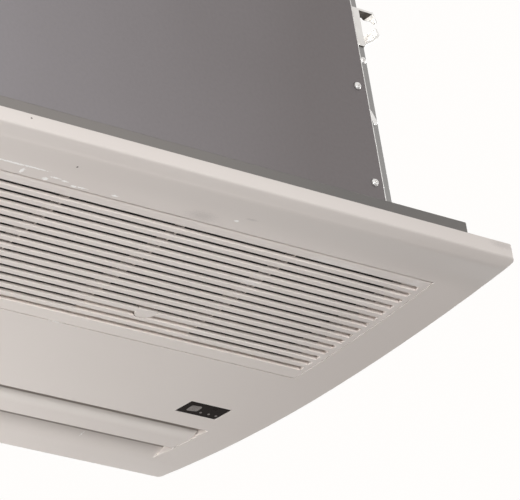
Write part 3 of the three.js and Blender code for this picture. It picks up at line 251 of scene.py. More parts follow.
def finish_piece(obj, paint, body, radius=0.0):
    """Gives a piece its paint, its rounded edges and smooth shading, and lets it ride on a body."""
    obj.data.materials.clear()
    obj.data.materials.append(paint)
    if radius > 0:
        bevel = obj.modifiers.new("rounded_edges", "BEVEL")
        bevel.width = radius
        bevel.segments = BEVEL_SEGMENTS
        bevel.limit_method = "ANGLE"
        bevel.angle_limit = BEVEL_ANGLE
    with bpy.context.temp_override(object=obj, active_object=obj, selected_objects=[obj],
                                   selected_editable_objects=[obj]):
        bpy.ops.object.shade_smooth_by_angle(angle=SMOOTH_ANGLE)
    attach(obj, body)
    return obj


def finished_mesh(name, shape, paint, body, radius=0.0):
    """Turns a bmesh into a finished piece."""
    bmesh.ops.recalc_face_normals(shape, faces=shape.faces)
    data = bpy.data.meshes.new(name)
    shape.to_mesh(data)
    shape.free()
    return finish_piece(add_object(name, data), paint, body, radius)


def welded(node):
    """A welded bmesh copy of a part's mesh, with its flat faces joined."""
    shape = bmesh.new()
    shape.from_mesh(nodes[node].data)
    bmesh.ops.remove_doubles(shape, verts=shape.verts, dist=WELD)
    bmesh.ops.dissolve_limit(shape, angle_limit=FLAT_ANGLE, verts=shape.verts, edges=shape.edges)
    return shape


def softened(node, paint, radius):
    """A copy of a part with rounded edges, which stands for the part."""
    shape = welded(node)
    if node in RESHAPED:
        RESHAPED[node](shape)
    data = bpy.data.meshes.new(node + "_fine")
    shape.to_mesh(data)
    shape.free()
    obj = add_object(node + "_fine", data)
    finish_piece(obj, paint, nodes[node]["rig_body"], radius)
    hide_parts(node)


def verts_of(geometry):
    """The vertices among what an operator gave back."""
    return [part for part in geometry if isinstance(part, bmesh.types.BMVert)]


def thick_plate(shape, corners, shift):
    """One face through the corners, extruded along the shift, in metres."""
    face = shape.faces.new([shape.verts.new(corner) for corner in corners])
    grown = bmesh.ops.extrude_face_region(shape, geom=[face])["geom"]
    bmesh.ops.translate(shape, verts=verts_of(grown), vec=shift)


# %% [markdown]
# ## Two parts that need more than a bevel
# The panel's rear edge rolls over in a broad, shallow curve, which shows as a soft band of light.
# The part has a small round there, so planes shave it down along the roll, and each cut is filled.
# The window has rounded corners in plan, so its upright edges are bevelled.

# %% Reshaping
ROLL = [(-235, -10.6), (-234.4, -12.2), (-233, -13.6), (-230.2, -14.5), (-225, -15.35), (-216, -16.43)]
WINDOW_CORNER = 2.5 * MM
CORNER_SEGMENTS = 4
ROUND_PROFILE = 0.5
UPRIGHT_LEAST = 0.5 * MM  # an upright edge is at least this tall
UPRIGHT_LEAN = 0.1 * MM  # and leans less than this


def round_uprights(shape, reach):
    """Rounds the edges that stand upright."""
    upright = [edge for edge in shape.edges if abs(edge.verts[0].co.z - edge.verts[1].co.z) > UPRIGHT_LEAST
               and (edge.verts[0].co.xy - edge.verts[1].co.xy).length < UPRIGHT_LEAN]
    bmesh.ops.bevel(shape, geom=upright, offset=reach, offset_type="OFFSET", affect="EDGES",
                    segments=CORNER_SEGMENTS, profile=ROUND_PROFILE, material=-1)
    print("rounded uprights:", len(upright))


def roll_rear_edge(shape):
    """Shaves the round of the panel's rear edge along the roll, (y, z) in mm."""
    for (y, z), (next_y, next_z) in zip(ROLL, ROLL[1:]):
        everything = shape.verts[:] + shape.edges[:] + shape.faces[:]
        cut = bmesh.ops.bisect_plane(shape, geom=everything, plane_co=(0, y * MM, z * MM),
                                     plane_no=(0, next_z - z, y - next_y), clear_outer=True)
        rim = [part for part in cut["geom_cut"] if isinstance(part, bmesh.types.BMEdge)]
        filled = bmesh.ops.holes_fill(shape, edges=rim, sides=0)
        print("shaved:", len(rim), "edges,", len(filled["faces"]), "faces")


def round_window(shape):
    """Rounds the window's corners."""
    round_uprights(shape, WINDOW_CORNER)


RESHAPED = {"panel_moulding": roll_rear_edge, "display_window": round_window}
print("parts with another shape:", list(RESHAPED))

# %% [markdown]
# ## Materials
# Each finish is a Principled shader whose roughness, tint and bump vary a little with noise in
# Object coordinates, because no moulded or rolled surface is perfectly even.

# %% Node helpers
BUMP_STRENGTH = 0.3
PATCH_EDGE = 0.35
RAG_SCALE = 700  # noise that makes a patch's edge ragged
RAG_REACH = 0.5
BAND_SOFT = 0.6  # mm over which a band fades
ROUGHNESS_BELOW = 0.05
ROUGHNESS_ABOVE = 0.06
CALM_DETAIL = 2.0  # detail of the noise behind tone and grain


def noise(tree, scale, detail=3.0, stretch=(1, 1, 1)):
    """Noise in Object coordinates, with a scale for each axis."""
    place = tree.nodes.new("ShaderNodeTexCoord")
    mapping = tree.nodes.new("ShaderNodeMapping")
    mapping.inputs["Scale"].default_value = stretch
    texture = tree.nodes.new("ShaderNodeTexNoise")
    texture.inputs["Scale"].default_value = scale
    texture.inputs["Detail"].default_value = detail
    link(tree, place.outputs["Object"], mapping.inputs["Vector"])
    link(tree, mapping.outputs["Vector"], texture.inputs["Vector"])
    return texture.outputs["Fac"]


def spread(tree, value, low, high, start=0.3, end=0.7):
    """Maps a value from one range to another, and clamps it."""
    node = tree.nodes.new("ShaderNodeMapRange")
    node.inputs["From Min"].default_value = start
    node.inputs["From Max"].default_value = end
    node.inputs["To Min"].default_value = low
    node.inputs["To Max"].default_value = high
    link(tree, value, node.inputs["Value"])
    return node.outputs["Result"]


def times(tree, first, second):
    """The product of two values."""
    return combined(tree, "MULTIPLY", first, second)


def tinted(tree, value, first, second):
    """Blends two colours by a value between 0 and 1. Either may be a colour or an output."""
    node = tree.nodes.new("ShaderNodeMix")
    node.data_type = "RGBA"
    for socket, colour in (("A", first), ("B", second)):
        if isinstance(colour, tuple):
            node.inputs[socket].default_value = (*colour, 1)
        else:
            link(tree, colour, node.inputs[socket])
    link(tree, value, node.inputs["Factor"])
    return node.outputs["Result"]


def bumped(tree, shader, value, height):
    """A bump of a given height in metres."""
    node = tree.nodes.new("ShaderNodeBump")
    node.inputs["Strength"].default_value = BUMP_STRENGTH
    node.inputs["Distance"].default_value = height
    link(tree, value, node.inputs["Height"])
    link(tree, node.outputs["Normal"], shader.inputs["Normal"])


def patch(tree, place, size, edge=PATCH_EDGE):
    """1 inside a small oval patch with a ragged edge, 0 outside. Place and size are in mm."""
    vector = tree.nodes.new("ShaderNodeTexCoord").outputs["Object"]
    for operation, triple in (("SUBTRACT", place), ("DIVIDE", size)):
        node = tree.nodes.new("ShaderNodeVectorMath")
        node.operation = operation
        node.inputs[1].default_value = [c * MM for c in triple]
        link(tree, vector, node.inputs[0])
        vector = node.outputs["Vector"]
    length = tree.nodes.new("ShaderNodeVectorMath")
    length.operation = "LENGTH"
    link(tree, vector, length.inputs[0])
    rag = spread(tree, noise(tree, RAG_SCALE), -RAG_REACH, RAG_REACH)
    return spread(tree, combined(tree, "ADD", length.outputs["Value"], rag), 1, 0, 1 - edge, 1 + edge)


def all_patches(tree, patches, edge=PATCH_EDGE):
    """The union of several patches."""
    total = patch(tree, *patches[0], edge)
    for place, size in patches[1:]:
        total = combined(tree, "MAXIMUM", total, patch(tree, place, size, edge))
    return total


def axis(tree, name, output="Object"):
    """One Object coordinate in metres, or one part of the normal."""
    coords = tree.nodes.new("ShaderNodeTexCoord")
    axes = tree.nodes.new("ShaderNodeSeparateXYZ")
    link(tree, coords.outputs[output], axes.inputs["Vector"])
    return axes.outputs[name]


def band(tree, value, start, end):
    """1 between two values in mm, 0 outside."""
    rise = spread(tree, value, 0, 1, (start - BAND_SOFT) * MM, start * MM)
    fall = spread(tree, value, 1, 0, end * MM, (end + BAND_SOFT) * MM)
    return times(tree, rise, fall)


def srgb(*levels):
    """A screen colour, 0 to 255, as linear light, by the sRGB curve."""
    shares = [level / 255 for level in levels]
    return tuple(((s + 0.055) / 1.055) ** 2.4 if s > 0.04045 else s / 12.92 for s in shares)


def finish_nodes(name, light, dark, roughness, metallic=0.0, cloud=3.0, grain=900.0,
                 grain_height=0.02 * MM):
    """A finish that drifts between two near colours, with a fine grain, and its nodes."""
    material, tree, shader = new_material(name)
    colour = tinted(tree, spread(tree, noise(tree, cloud, CALM_DETAIL), 0, 1), light, dark)
    link(tree, colour, shader.inputs["Base Color"])
    fine = noise(tree, grain, CALM_DETAIL)
    sheen = spread(tree, fine, roughness - ROUGHNESS_BELOW, roughness + ROUGHNESS_ABOVE)
    link(tree, sheen, shader.inputs["Roughness"])
    shader.inputs["Metallic"].default_value = metallic
    bumped(tree, shader, fine, grain_height)
    return material, tree, shader, colour


def plain_finish(*looks, **options):
    """The material of a finish that needs nothing more."""
    return finish_nodes(*looks, **options)[0]


# %% [markdown]
# ### Worn ivory plastic, with painted shadow and light
# The panel and its grille are moulded in one ivory plastic. Years of cleaning left chips along the
# edge behind the grille, a smudge, and scuffs near the grille's corner. Each mark is an oval patch
# with a ragged edge, placed in Object coordinates, and it changes the colour only. A thin line of
# painted shadow lies behind the flap's hinge edge, and another lies on the hollow in front of the flap.
# Next to the hinge edge the flap is painted lighter, a painted light.

# %% Ivory finishes
# Each mark: (x, y, z) of its middle and its reach along x, y and z, in mm.
CHIPS = [((-4, -192.5, -19), (16, 0.9, 9)), ((16, -192.9, -19), (12, 0.8, 9)),
         ((9, -186, -19), (1.6, 3, 9)), ((34.3, -183.4, -19), (2.2, 1.8, 9)),
         ((41.8, -187.6, -19), (5, 0.8, 9)), ((51.9, -186.3, -19), (3, 1, 9)),
         ((63.5, -183.1, -19), (3, 1, 9)), ((71.1, -183.8, -19), (5, 0.8, 9)),
         ((104, -184.6, -19), (3, 1.1, 9)), ((225, -193, -18), (2, 1.4, 9)),
         ((204, -1, -26), (5, 0.9, 9)), ((190, -0.4, -26), (7, 0.8, 9)),
         ((-60, -184, -19), (6, 1, 9)), ((-210, -185, -19), (4, 1, 9)),
         ((369.7, 184, -20), (1, 3.5, 9))]
SMUDGES = [((192, -188, -19), (11, 4.5, 9)), ((236, -199, -18), (4, 1, 9)), ((-320, -190, -19), (9, 4, 9)),
           ((486, -235, -3), (9, 4, 2.6))]
SPECKS = [((48.2, -207, -17), (0.7, 0.9, 9)), ((-17.9, -235, -3.7), (0.8, 3, 0.7))]
SCUFFS = [((20, -167.6, -20.4), (12, 1.3, 9)), ((338, -172, -20), (12, 3, 9)),
          ((362, -173, -20), (14, 2.5, 9)), ((440, -172, -20), (6, 5, 9)),
          ((120, -60, -26), (9, 2, 9)), ((300, -120, -24), (10, 2, 9)),
          ((-200, -90, -25), (12, 3, 9))]
SOFT_EDGE = 0.8
SMUDGE_SHARE = 0.6
# how strongly the painted shadow lines show
SHADOW_LINE_SHARE = 0.85
SCUFF_SHARE = 0.5
CHIP_COLOUR = srgb(246, 243, 240)
SMUDGE_COLOUR = srgb(190, 182, 177)
SPECK_COLOUR = srgb(88, 80, 74)
# the next two colours are painted: the colour of the painted shadow lines, then the painted light
SHADOW_LINE_COLOUR = srgb(142, 131, 124)
PAINTED_LIGHT_COLOUR = srgb(234, 227, 221)
SCUFF_COLOUR = srgb(238, 233, 229)
FLAP_HALF = 458  # the painted shadow lines and the painted light strip run this far to each side
# painted shadow: two thin dark lines, behind the flap's hinge edge and on the hollow in front of the flap;
# painted light: a lighter strip on the flap next to its hinge edge
HINGE_SHADOW_LINE = (126, 131.3)
FRONT_SHADOW_LINE = (171, 178.9)
PAINTED_LIGHT_STRIP = (126, 148)
PAINTED_LIGHT_FADE = (132 * MM, 147 * MM)
STREAK_SCALE = 90
STREAK_DETAIL = 4.0
STREAK_STRETCH = (0.12, 1, 1)
STREAK_SHARE = 0.5
STREAK_RANGE = (0.55, 0.75)  # the noise's range over which a streak shows


def worn_and_painted_panel():
    """The panel's plastic with chips, smudges and specks, a painted light strip and two painted shadow lines.
    """
    material, tree, shader, colour = finish_nodes("ivory_moulding", srgb(221, 213, 207), srgb(216, 207, 201),
                                                  0.42)
    colour = tinted(tree, all_patches(tree, CHIPS), colour, CHIP_COLOUR)
    smudges = times(tree, all_patches(tree, SMUDGES, SOFT_EDGE), SMUDGE_SHARE)
    colour = tinted(tree, smudges, colour, SMUDGE_COLOUR)
    colour = tinted(tree, all_patches(tree, SPECKS), colour, SPECK_COLOUR)
    depth = axis(tree, "Y")
    along = band(tree, axis(tree, "X"), -FLAP_HALF, FLAP_HALF)
    # painted light: the flap is lighter next to its hinge edge
    painted_light = times(tree, spread(tree, depth, 1, 0, *PAINTED_LIGHT_FADE), band(tree, depth, *PAINTED_LIGHT_STRIP))
    colour = tinted(tree, times(tree, painted_light, along), colour, PAINTED_LIGHT_COLOUR)
    # painted shadow: thin dark lines behind the hinge edge and on the hollow in front of the flap
    painted_shadow = combined(tree, "MAXIMUM", band(tree, depth, *HINGE_SHADOW_LINE), band(tree, depth, *FRONT_SHADOW_LINE))
    painted_shadow = times(tree, times(tree, painted_shadow, along), SHADOW_LINE_SHARE)
    link(tree, tinted(tree, painted_shadow, colour, SHADOW_LINE_COLOUR), shader.inputs["Base Color"])
    return material


def worn_grille():
    """The grille's plastic with scuffs and faint streaks along its length."""
    material, tree, shader, colour = finish_nodes("ivory_grille", srgb(226, 218, 211), srgb(219, 210, 204),
                                                  0.4)
    streaks = spread(tree, noise(tree, STREAK_SCALE, STREAK_DETAIL, STREAK_STRETCH), 0, STREAK_SHARE,
                     *STREAK_RANGE)
    scuffs = combined(tree, "MAXIMUM", streaks, all_patches(tree, SCUFFS, SOFT_EDGE))
    colour = tinted(tree, times(tree, scuffs, SCUFF_SHARE), colour, SCUFF_COLOUR)
    link(tree, colour, shader.inputs["Base Color"])
    return material


ivory = worn_and_painted_panel()
grille_ivory = worn_grille()
print("marks:", len(CHIPS + SMUDGES + SPECKS + SCUFFS))

# %% [markdown]
# ### Metals and dark plastics
# The casing is zinc-coated sheet, which shows faint grey clouds and a satin shine. The casing, its
# flanges and the dark frame are painted darker towards the right end, a painted shade. Brackets and
# screws are bright zinc. The foams are matte and rough, and the small plastics have a low shine.

# %% Other finishes
SHEET_GRAIN = {"grain": 300, "grain_height": 0.004 * MM}
FALL = (0.02, 0.38)  # painted shade: the tone falls off between these places along x, in metres
FALL_CLOUD = 0.05
FALL_SCALE = 4.0
UNDERSIDE = (0.5, 0.8)  # how far a face must look down to get the painted shade
# the colour of the painted shade on faces that look down
UNDERSIDE_SHADE_COLOUR = srgb(96, 90, 84)
WINDOW_SHINE = 0.12


def painted_falloff_finish(name, near, far, roughness, metallic, **grain):
    """A finish with painted shade: its tone falls off along the object's length, darker towards the right
    end.
    """
    material, tree, shader, _ = finish_nodes(name, near, near, roughness, metallic, **grain)
    cloud = spread(tree, noise(tree, FALL_SCALE, CALM_DETAIL), -FALL_CLOUD, FALL_CLOUD)
    # painted shade: the colour darkens along x, from the middle towards the right end
    fall = spread(tree, combined(tree, "ADD", axis(tree, "X"), cloud), 0, 1, *FALL)
    link(tree, tinted(tree, fall, near, far), shader.inputs["Base Color"])
    return material


def hanger_finish():
    """Bright zinc, with painted shade on the faces that look down."""
    material, tree, shader, colour = finish_nodes("hanger_zinc", srgb(240, 238, 235), srgb(222, 219, 215),
                                                  0.35, 0.55, cloud=40, **SHEET_GRAIN)
    # painted shade: faces that look down are darker
    painted_underside_shade = spread(tree, times(tree, axis(tree, "Z", "Normal"), -1), 0, 1, *UNDERSIDE)
    link(tree, tinted(tree, painted_underside_shade, colour, UNDERSIDE_SHADE_COLOUR), shader.inputs["Base Color"])
    return material


def window_finish():
    """Dark plastic with little shine."""
    material, _, shader, _ = finish_nodes("window_black", srgb(34, 27, 24), srgb(28, 22, 20), 0.6)
    shader.inputs["Specular IOR Level"].default_value = WINDOW_SHINE
    return material


# painted shade on the casing, its flanges and the dark frame, darker towards the right end
casing_steel = painted_falloff_finish("coated_steel", srgb(136, 131, 133), srgb(112, 106, 106), 0.5, 0.35, **SHEET_GRAIN)
strip_steel = painted_falloff_finish("strip_steel", srgb(168, 166, 165), srgb(146, 144, 142), 0.42, 0.4, **SHEET_GRAIN)
frame_plastic = painted_falloff_finish("dark_frame_plastic", srgb(128, 123, 119), srgb(106, 103, 100), 0.65, 0.0)
bright_zinc = plain_finish("bright_zinc", srgb(226, 223, 219), srgb(204, 200, 195), 0.3, 0.9, cloud=40,
                           **SHEET_GRAIN)
hanger_zinc = hanger_finish()
screw_zinc = plain_finish("screw_zinc", srgb(244, 242, 240), srgb(226, 224, 221), 0.28, 0.6, cloud=500,
                          grain=2000, grain_height=0.004 * MM)
# dark grey of the rings under the casing's screws, a painted shadow
screw_shadow_grey = plain_finish("screw_shadow_grey", srgb(84, 79, 78), srgb(72, 67, 66), 0.6)
dull_screw = plain_finish("dull_screw", srgb(158, 152, 148), srgb(140, 134, 130), 0.45, 0.4, cloud=300)
seal_foam = plain_finish("seal_foam", srgb(62, 58, 56), srgb(50, 47, 45), 0.95, grain=1600,
                         grain_height=0.25 * MM)
white_foam = plain_finish("white_foam", srgb(236, 235, 231), srgb(224, 222, 217), 0.85, grain=500,
                          grain_height=0.2 * MM)
black_plastic = plain_finish("black_plastic", srgb(48, 42, 40), srgb(40, 35, 33), 0.4)
window_black = window_finish()
filter_black = plain_finish("filter_black", srgb(36, 31, 29), srgb(27, 23, 22), 0.7)
grey_plastic = plain_finish("grey_plastic", srgb(150, 147, 143), srgb(138, 135, 131), 0.5)
lamp_grey = plain_finish("lamp_grey", srgb(132, 126, 122), srgb(118, 112, 108), 0.3, cloud=200)
fin_aluminium = plain_finish("fin_aluminium", srgb(214, 217, 220), srgb(196, 199, 203), 0.35, 0.95)
tube_copper = plain_finish("tube_copper", srgb(206, 134, 98), srgb(172, 104, 74), 0.3, 1.0, cloud=30)
nut_brass = plain_finish("nut_brass", srgb(214, 188, 116), srgb(192, 164, 94), 0.28, 1.0, cloud=30)
board_green = plain_finish("board_green", srgb(44, 92, 62), srgb(34, 74, 50), 0.45)
print("finishes ready:", len(bpy.data.materials))

# %% [markdown]
# ## Every part in its finish
# Each line pairs parts with a finish, the record's slot and the radius of their edges.

# %% Softened parts
SHEET_EDGE = 0.3 * MM
MOULDED_EDGE = 0.5 * MM
PARTS_BY_FINISH = [
    (("casing_top", "casing_rear", "casing_front", "casing_end_right", "casing_end_left", "casing_bottom",
      "fan_motor", "motor_bracket", "bulkhead_left", "bulkhead_right", "electrical_box", "electrical_cover"),
     casing_steel, "galvanised", SHEET_EDGE),
    (("hanger_rear_right", "hanger_rear_left", "hanger_front_right", "hanger_front_left"),
     hanger_zinc, "zinc_plated", 0.4 * MM),
    (("motor_shaft",), bright_zinc, "zinc_plated", SHEET_EDGE),
    (("panel_moulding", "air_flap"), ivory, "ivory_plastic", MOULDED_EDGE),
    (("intake_grille",), grille_ivory, "ivory_plastic", SHEET_EDGE),
    (("latch_left", "latch_right"), grille_ivory, "ivory_plastic", 0.4 * MM),
    (("panel_frame",), frame_plastic, "dark_frame", 2.5 * MM),
    (("panel_seal",), seal_foam, "seal_foam", 0.8 * MM),
    (("filter_left", "filter_right"), filter_black, "black_plastic", SHEET_EDGE),
    (("display_window", "window_button"), window_black, "black_plastic", 0.2 * MM),
    (("fan_bearing", "vane_link_left", "vane_link_right", "terminal_block",
      *(name for name in nodes if name.startswith("air_vane"))), black_plastic, "black_plastic", 0.2 * MM),
    (("fan_rotor",), black_plastic, "black_plastic", 0),
    (("flap_motor", "fan_stabiliser", "drain_pump", "drain_hose", "drain_spigot"),
     grey_plastic, "grey_plastic", 0.4 * MM),
    (("fan_scroll", "drain_pan", "drain_float"), white_foam, "white_foam", 1.0 * MM),
    (("coil_end_left", "coil_end_right", "gas_pipe", "liquid_pipe"), tube_copper, "copper", 0),
    (("gas_nut", "liquid_nut"), nut_brass, "brass", MOULDED_EDGE),
    (("circuit_board",), board_green, "board", 0),
]
for names, paint, slot_name, radius in PARTS_BY_FINISH:
    for name in names:
        softened(name, paint, radius)

# %% [markdown]
# ## Small screws
# A pan-head screw is a low dome with a cross recess. It starts as a five by five grid, whose
# middle plus becomes the recess. The outer points are cast onto a circle, and the boundary is
# extruded twice to make the skirt. One mesh holds every screw of a group. The casing's screws sit
# on thin dark grey rings, a painted shadow around each head.

# %% Pan-head screws
GRID_LINES = (-1, -0.42, -0.14, 0.14, 0.42, 1)
FLAT_TOP = 0.72
PLUS_HALF = 0.1  # faces of the plus lie this near one axis
PLUS_REACH = 0.4  # and this far along the other
RECESS_LEAN = 0.03
RECESS_DEPTH = 0.5
SKIRT_LEVELS = (0.55, 0.0)


def screw_head(radius, height):
    """A pan head that stands on z = 0, in metres."""
    head = bmesh.new()
    cells = len(GRID_LINES) - 1
    bmesh.ops.create_grid(head, x_segments=cells, y_segments=cells, size=1)
    for vert in head.verts:
        flat = Vector([GRID_LINES[round((c + 1) / 2 * cells)] for c in vert.co.xy])
        if vert.is_boundary:
            flat = flat.normalized() * FLAT_TOP
        vert.co = (flat.x, flat.y, 1)
    plus = [face for face in head.faces if min(abs(c) for c in face.calc_center_median().xy) < PLUS_HALF
            and max(abs(c) for c in face.calc_center_median().xy) < PLUS_REACH]
    bmesh.ops.inset_region(head, faces=plus, thickness=RECESS_LEAN, depth=-RECESS_DEPTH, use_even_offset=True)
    for level in SKIRT_LEVELS:
        rim = [edge for edge in head.edges if edge.is_boundary]
        for vert in verts_of(bmesh.ops.extrude_edge_only(head, edges=rim)["geom"]):
            flat = vert.co.xy.normalized()
            vert.co = (flat.x, flat.y, level)
    bmesh.ops.holes_fill(head, edges=[edge for edge in head.edges if edge.is_boundary])
    bmesh.ops.scale(head, verts=head.verts, vec=(radius, radius, height))
    bmesh.ops.recalc_face_normals(head, faces=head.faces)
    return head


def standing(point, outward):
    """The move that stands a shape on a point in mm, with its Z along the outward direction."""
    return Matrix.Translation(Vector(point) * MM) @ facing(outward)


def screws(name, places, radius, height, paint, body, slot_name):
    """Screw heads at places = (point in mm, outward direction), in one mesh."""
    spinner = random.Random(name)
    group = bmesh.new()
    for point, outward in places:
        head = screw_head(radius * MM, height * MM)
        spin = Matrix.Rotation(spinner.uniform(0, math.pi), 4, "Z")
        bmesh.ops.transform(head, verts=head.verts, matrix=standing(point, outward) @ spin)
        part = bpy.data.meshes.new("part")
        head.to_mesh(part)
        head.free()
        group.from_mesh(part)
        bpy.data.meshes.remove(part)
    finished_mesh(name, group, paint, body)


# %% The casing's, the grille's and the electrical cover's screws
SIDES = (-1, 1)
CORNERS = [(side, face) for side in SIDES for face in SIDES]  # left or right, rear or front
CORNER_SCREWS = [(394.3, 190, 149.5), (394.5, 190, 57), (407.2, 188.5, 178)]
CASING_HEAD = (3.4, 2.4)  # radius and height in mm
GRILLE_SCREW = (344.5, -6.7, -25.55)
GRILLE_HEAD = (3.6, 0.8)
COVER_HEAD = (3, 1.8)
COVER_MARGIN = 6
DOWN = (0, 0, -1)
# thin dark grey rings under the casing's screws, a painted shadow around each head
SHADOW_RING_RADIUS = 4
SHADOW_RING_TOP_RADIUS = 3.7
SHADOW_RING_DEPTH = 0.5
SHADOW_RING_SEGMENTS = 24

casing_places = [((side * x, face * y, z), (0, face, 0))
                 for side, face in CORNERS for x, y, z in CORNER_SCREWS]
screws("casing_screws", casing_places, *CASING_HEAD, screw_zinc, "unit", "zinc_plated")
screw_x, screw_y, screw_z = GRILLE_SCREW
grille_places = [((side * screw_x, screw_y, screw_z), DOWN) for side in SIDES]
screws("grille_screws", grille_places, *GRILLE_HEAD, dull_screw, "grille", "zinc_plated")
cover_low, cover_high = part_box("electrical_cover")
cover_x = (cover_low.x / MM + COVER_MARGIN, cover_high.x / MM - COVER_MARGIN)
cover_y = (cover_low.y / MM + COVER_MARGIN, cover_high.y / MM - COVER_MARGIN)
cover_places = [((x, y, cover_low.z / MM), DOWN) for x in cover_x for y in cover_y]
screws("cover_screws", cover_places, *COVER_HEAD, bright_zinc, "unit", "zinc_plated")
# painted shadow: a thin dark ring under each casing screw
shadow_rings = bmesh.new()
for point, outward in casing_places:
    shadow_ring = bmesh.ops.create_cone(shadow_rings, cap_ends=True, segments=SHADOW_RING_SEGMENTS, radius1=SHADOW_RING_RADIUS * MM,
                                 radius2=SHADOW_RING_TOP_RADIUS * MM, depth=SHADOW_RING_DEPTH * MM)
    bmesh.ops.transform(shadow_rings, verts=shadow_ring["verts"], matrix=standing(point, outward))
finished_mesh("screw_shadow_rings", shadow_rings, screw_shadow_grey, "unit")
print("screws:", len(casing_places + grille_places + cover_places))

# %% [markdown]
# ## The end plates' flanges
# Beside the rear and front plates, each end plate's folded flange shows as a narrow, lighter
# strip. Its edge and the plate's cut edge are bare zinc and shine. A tongue of bare bright metal
# is pushed out of the strip, halfway down. Each starts as one face and is extruded to its depth.

# %% Flanges, bright edges and pushed-out tongues
# Outlines (x, z) in mm on the rear face.
STRIP = [(404.9, 32.6), (412.2, 32.6), (411.8, 257), (404.9, 257)]
PLATE_EDGE = [(404.2, 33), (405.0, 33), (405.0, 257), (404.2, 257)]
TAB = [(403.8, 130), (406.4, 128), (410.6, 120), (410.2, 116.5), (407.2, 114.6), (405.6, 118)]
# Name, outline, depth and distance from the middle in mm, finish, and radius of the edges.
CORNER_PIECES = [("end_flanges", STRIP, 0.5, 188.55, strip_steel, 0.15 * MM),
                 ("plate_edges", PLATE_EDGE, 0.5, 189.7, screw_zinc, 0.1 * MM),
                 ("strip_tabs", TAB, 1.4, 189.0, screw_zinc, 0.3 * MM)]

for name, outline, depth, rear, paint, radius in CORNER_PIECES:
    shape = bmesh.new()
    for side, face in CORNERS:
        corners = [(side * x * MM, face * rear * MM, z * MM) for x, z in outline]
        thick_plate(shape, corners, (0, face * depth * MM, 0))
    finished_mesh(name, shape, paint, "unit", radius)
print("corner pieces:", len(CORNER_PIECES))

# %% [markdown]
# ## Receiver window
# In the dark window are a square receiver and three small lamps. The receiver is one square with
# rounded corners, the lamps are discs, and all stand a hair out of the window's face.

# %% Receiver and lamps
RECEIVER = [(409.1, 91.4), (408.0, 80.8), (418.5, 79.8), (419.6, 89.2)]
STATUS_LAMPS = [(424.8, 90.1), (433.7, 89.9), (442.5, 90.2)]
WINDOW_REAR = -24.62  # height of the window's face at its rear edge, in mm
WINDOW_RISE = 1.05  # from there to its front edge
PROUD = 0.15
RECEIVER_CORNER = 1.8
LAMP_RADIUS = 1.1
LAMP_DEPTH = 1.0
LAMP_SEGMENTS = 16
window_low, window_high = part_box("display_window")


def window_face(y):
    """Height of the window's sloping face at y, both in mm."""
    rear, front = window_low.y / MM, window_high.y / MM
    share = (y - rear) / (front - rear)
    return WINDOW_REAR + WINDOW_RISE * share


receiver_shape = bmesh.new()
receiver_corners = [(x * MM, y * MM, (window_face(y) - PROUD) * MM) for x, y in RECEIVER]
thick_plate(receiver_shape, receiver_corners, (0, 0, LAMP_DEPTH * MM))
round_uprights(receiver_shape, RECEIVER_CORNER * MM)
finished_mesh("receiver_eye", receiver_shape, lamp_grey, "unit")

lamp_shape = bmesh.new()
for x, y in STATUS_LAMPS:
    disc = bmesh.ops.create_cone(lamp_shape, cap_ends=True, segments=LAMP_SEGMENTS, radius1=LAMP_RADIUS * MM,
                                 radius2=LAMP_RADIUS * MM, depth=LAMP_DEPTH * MM)
    middle = window_face(y) - PROUD + LAMP_DEPTH / 2
    bmesh.ops.translate(lamp_shape, verts=disc["verts"], vec=(x * MM, y * MM, middle * MM))
finished_mesh("status_lamps", lamp_shape, lamp_grey, "unit")
print("receiver and lamps:", 1 + len(STATUS_LAMPS))

# %% [markdown]
# ## Coil fins
# The heat exchanger's block is a stack of thin aluminium sheets on the copper tubes. Each sheet is
# a flat plate with the block's own outline, and the stack stands for the block.

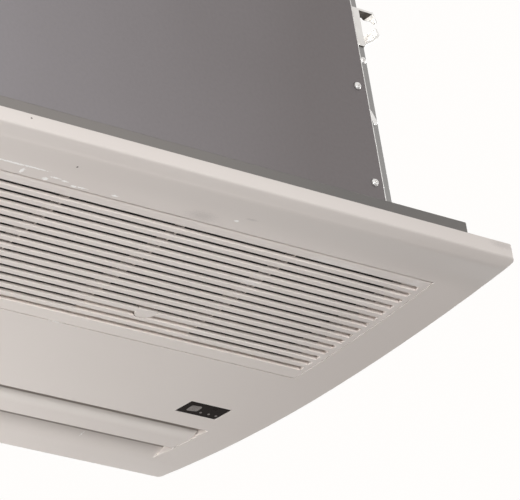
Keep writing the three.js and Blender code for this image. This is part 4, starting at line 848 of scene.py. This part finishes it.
# %% Fin stack
FIN_PITCH = 3.0
FIN_SHEET = 0.5
END_NORMAL = -0.9
coil_low, coil_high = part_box("coil_fins")
coil = welded("coil_fins")
end_face = next(face for face in coil.faces if face.normal.x < END_NORMAL)
outline = [(vert.co.y, vert.co.z) for vert in end_face.verts]
coil.free()
fin_shape = bmesh.new()
fin_count = int((coil_high.x - coil_low.x) / (FIN_PITCH * MM))
step = (coil_high.x - coil_low.x - FIN_SHEET * MM) / fin_count
thick_plate(fin_shape, [(coil_low.x, y, z) for y, z in outline], (FIN_SHEET * MM, 0, 0))
bmesh.ops.spin(fin_shape, geom=fin_shape.verts[:] + fin_shape.edges[:] + fin_shape.faces[:], cent=(0, 0, 0),
               axis=(1, 0, 0), dvec=(step, 0, 0), angle=0, steps=fin_count, use_duplicate=True)
fin_stack = finished_mesh("coil_fin_stack", fin_shape, fin_aluminium, "unit")
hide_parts("coil_fins")
print("fins:", fin_count + 1)

# %% [markdown]
# ## Filter net
# Each air filter is a frame with a fine woven net. Thin crossed bars along the frame's lower face
# make the net, as real threads would.

# %% Net threads
THREAD = 0.35
THREAD_PITCH = 4.0
NET_MARGIN = 8
NET_BELOW = 0.02
NET_ABOVE = 0.3


def bar(shape, low, high):
    """A box between two corners, in mm."""
    size = [h - l for l, h in zip(low, high)]
    middle = [(l + h) / 2 for l, h in zip(low, high)]
    made = bmesh.ops.create_cube(shape, size=1.0)
    matrix = Matrix.Translation(Vector(middle) * MM) @ Matrix.Diagonal((*(s * MM for s in size), 1))
    bmesh.ops.transform(shape, verts=made["verts"], matrix=matrix)


def thread_places(start, end):
    """Where the threads lie between two sides of the frame, in mm."""
    count = int((end - start - 2 * NET_MARGIN) / THREAD_PITCH)
    return [start + NET_MARGIN + i * THREAD_PITCH for i in range(1, count)]


for name in ("filter_left", "filter_right"):
    low, high = (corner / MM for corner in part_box(name))
    net = bmesh.new()
    bottom, top = low.z - NET_BELOW, low.z + NET_ABOVE
    for x in thread_places(low.x, high.x):
        bar(net, (x, low.y + NET_MARGIN, bottom), (x + THREAD, high.y - NET_MARGIN, top))
    for y in thread_places(low.y, high.y):
        bar(net, (low.x + NET_MARGIN, y, bottom), (high.x - NET_MARGIN, y + THREAD, top))
    finished_mesh(name + "_net", net, filter_black, "grille")
    print(name, "net:", len(thread_places(low.x, high.x) + thread_places(low.y, high.y)), "threads")
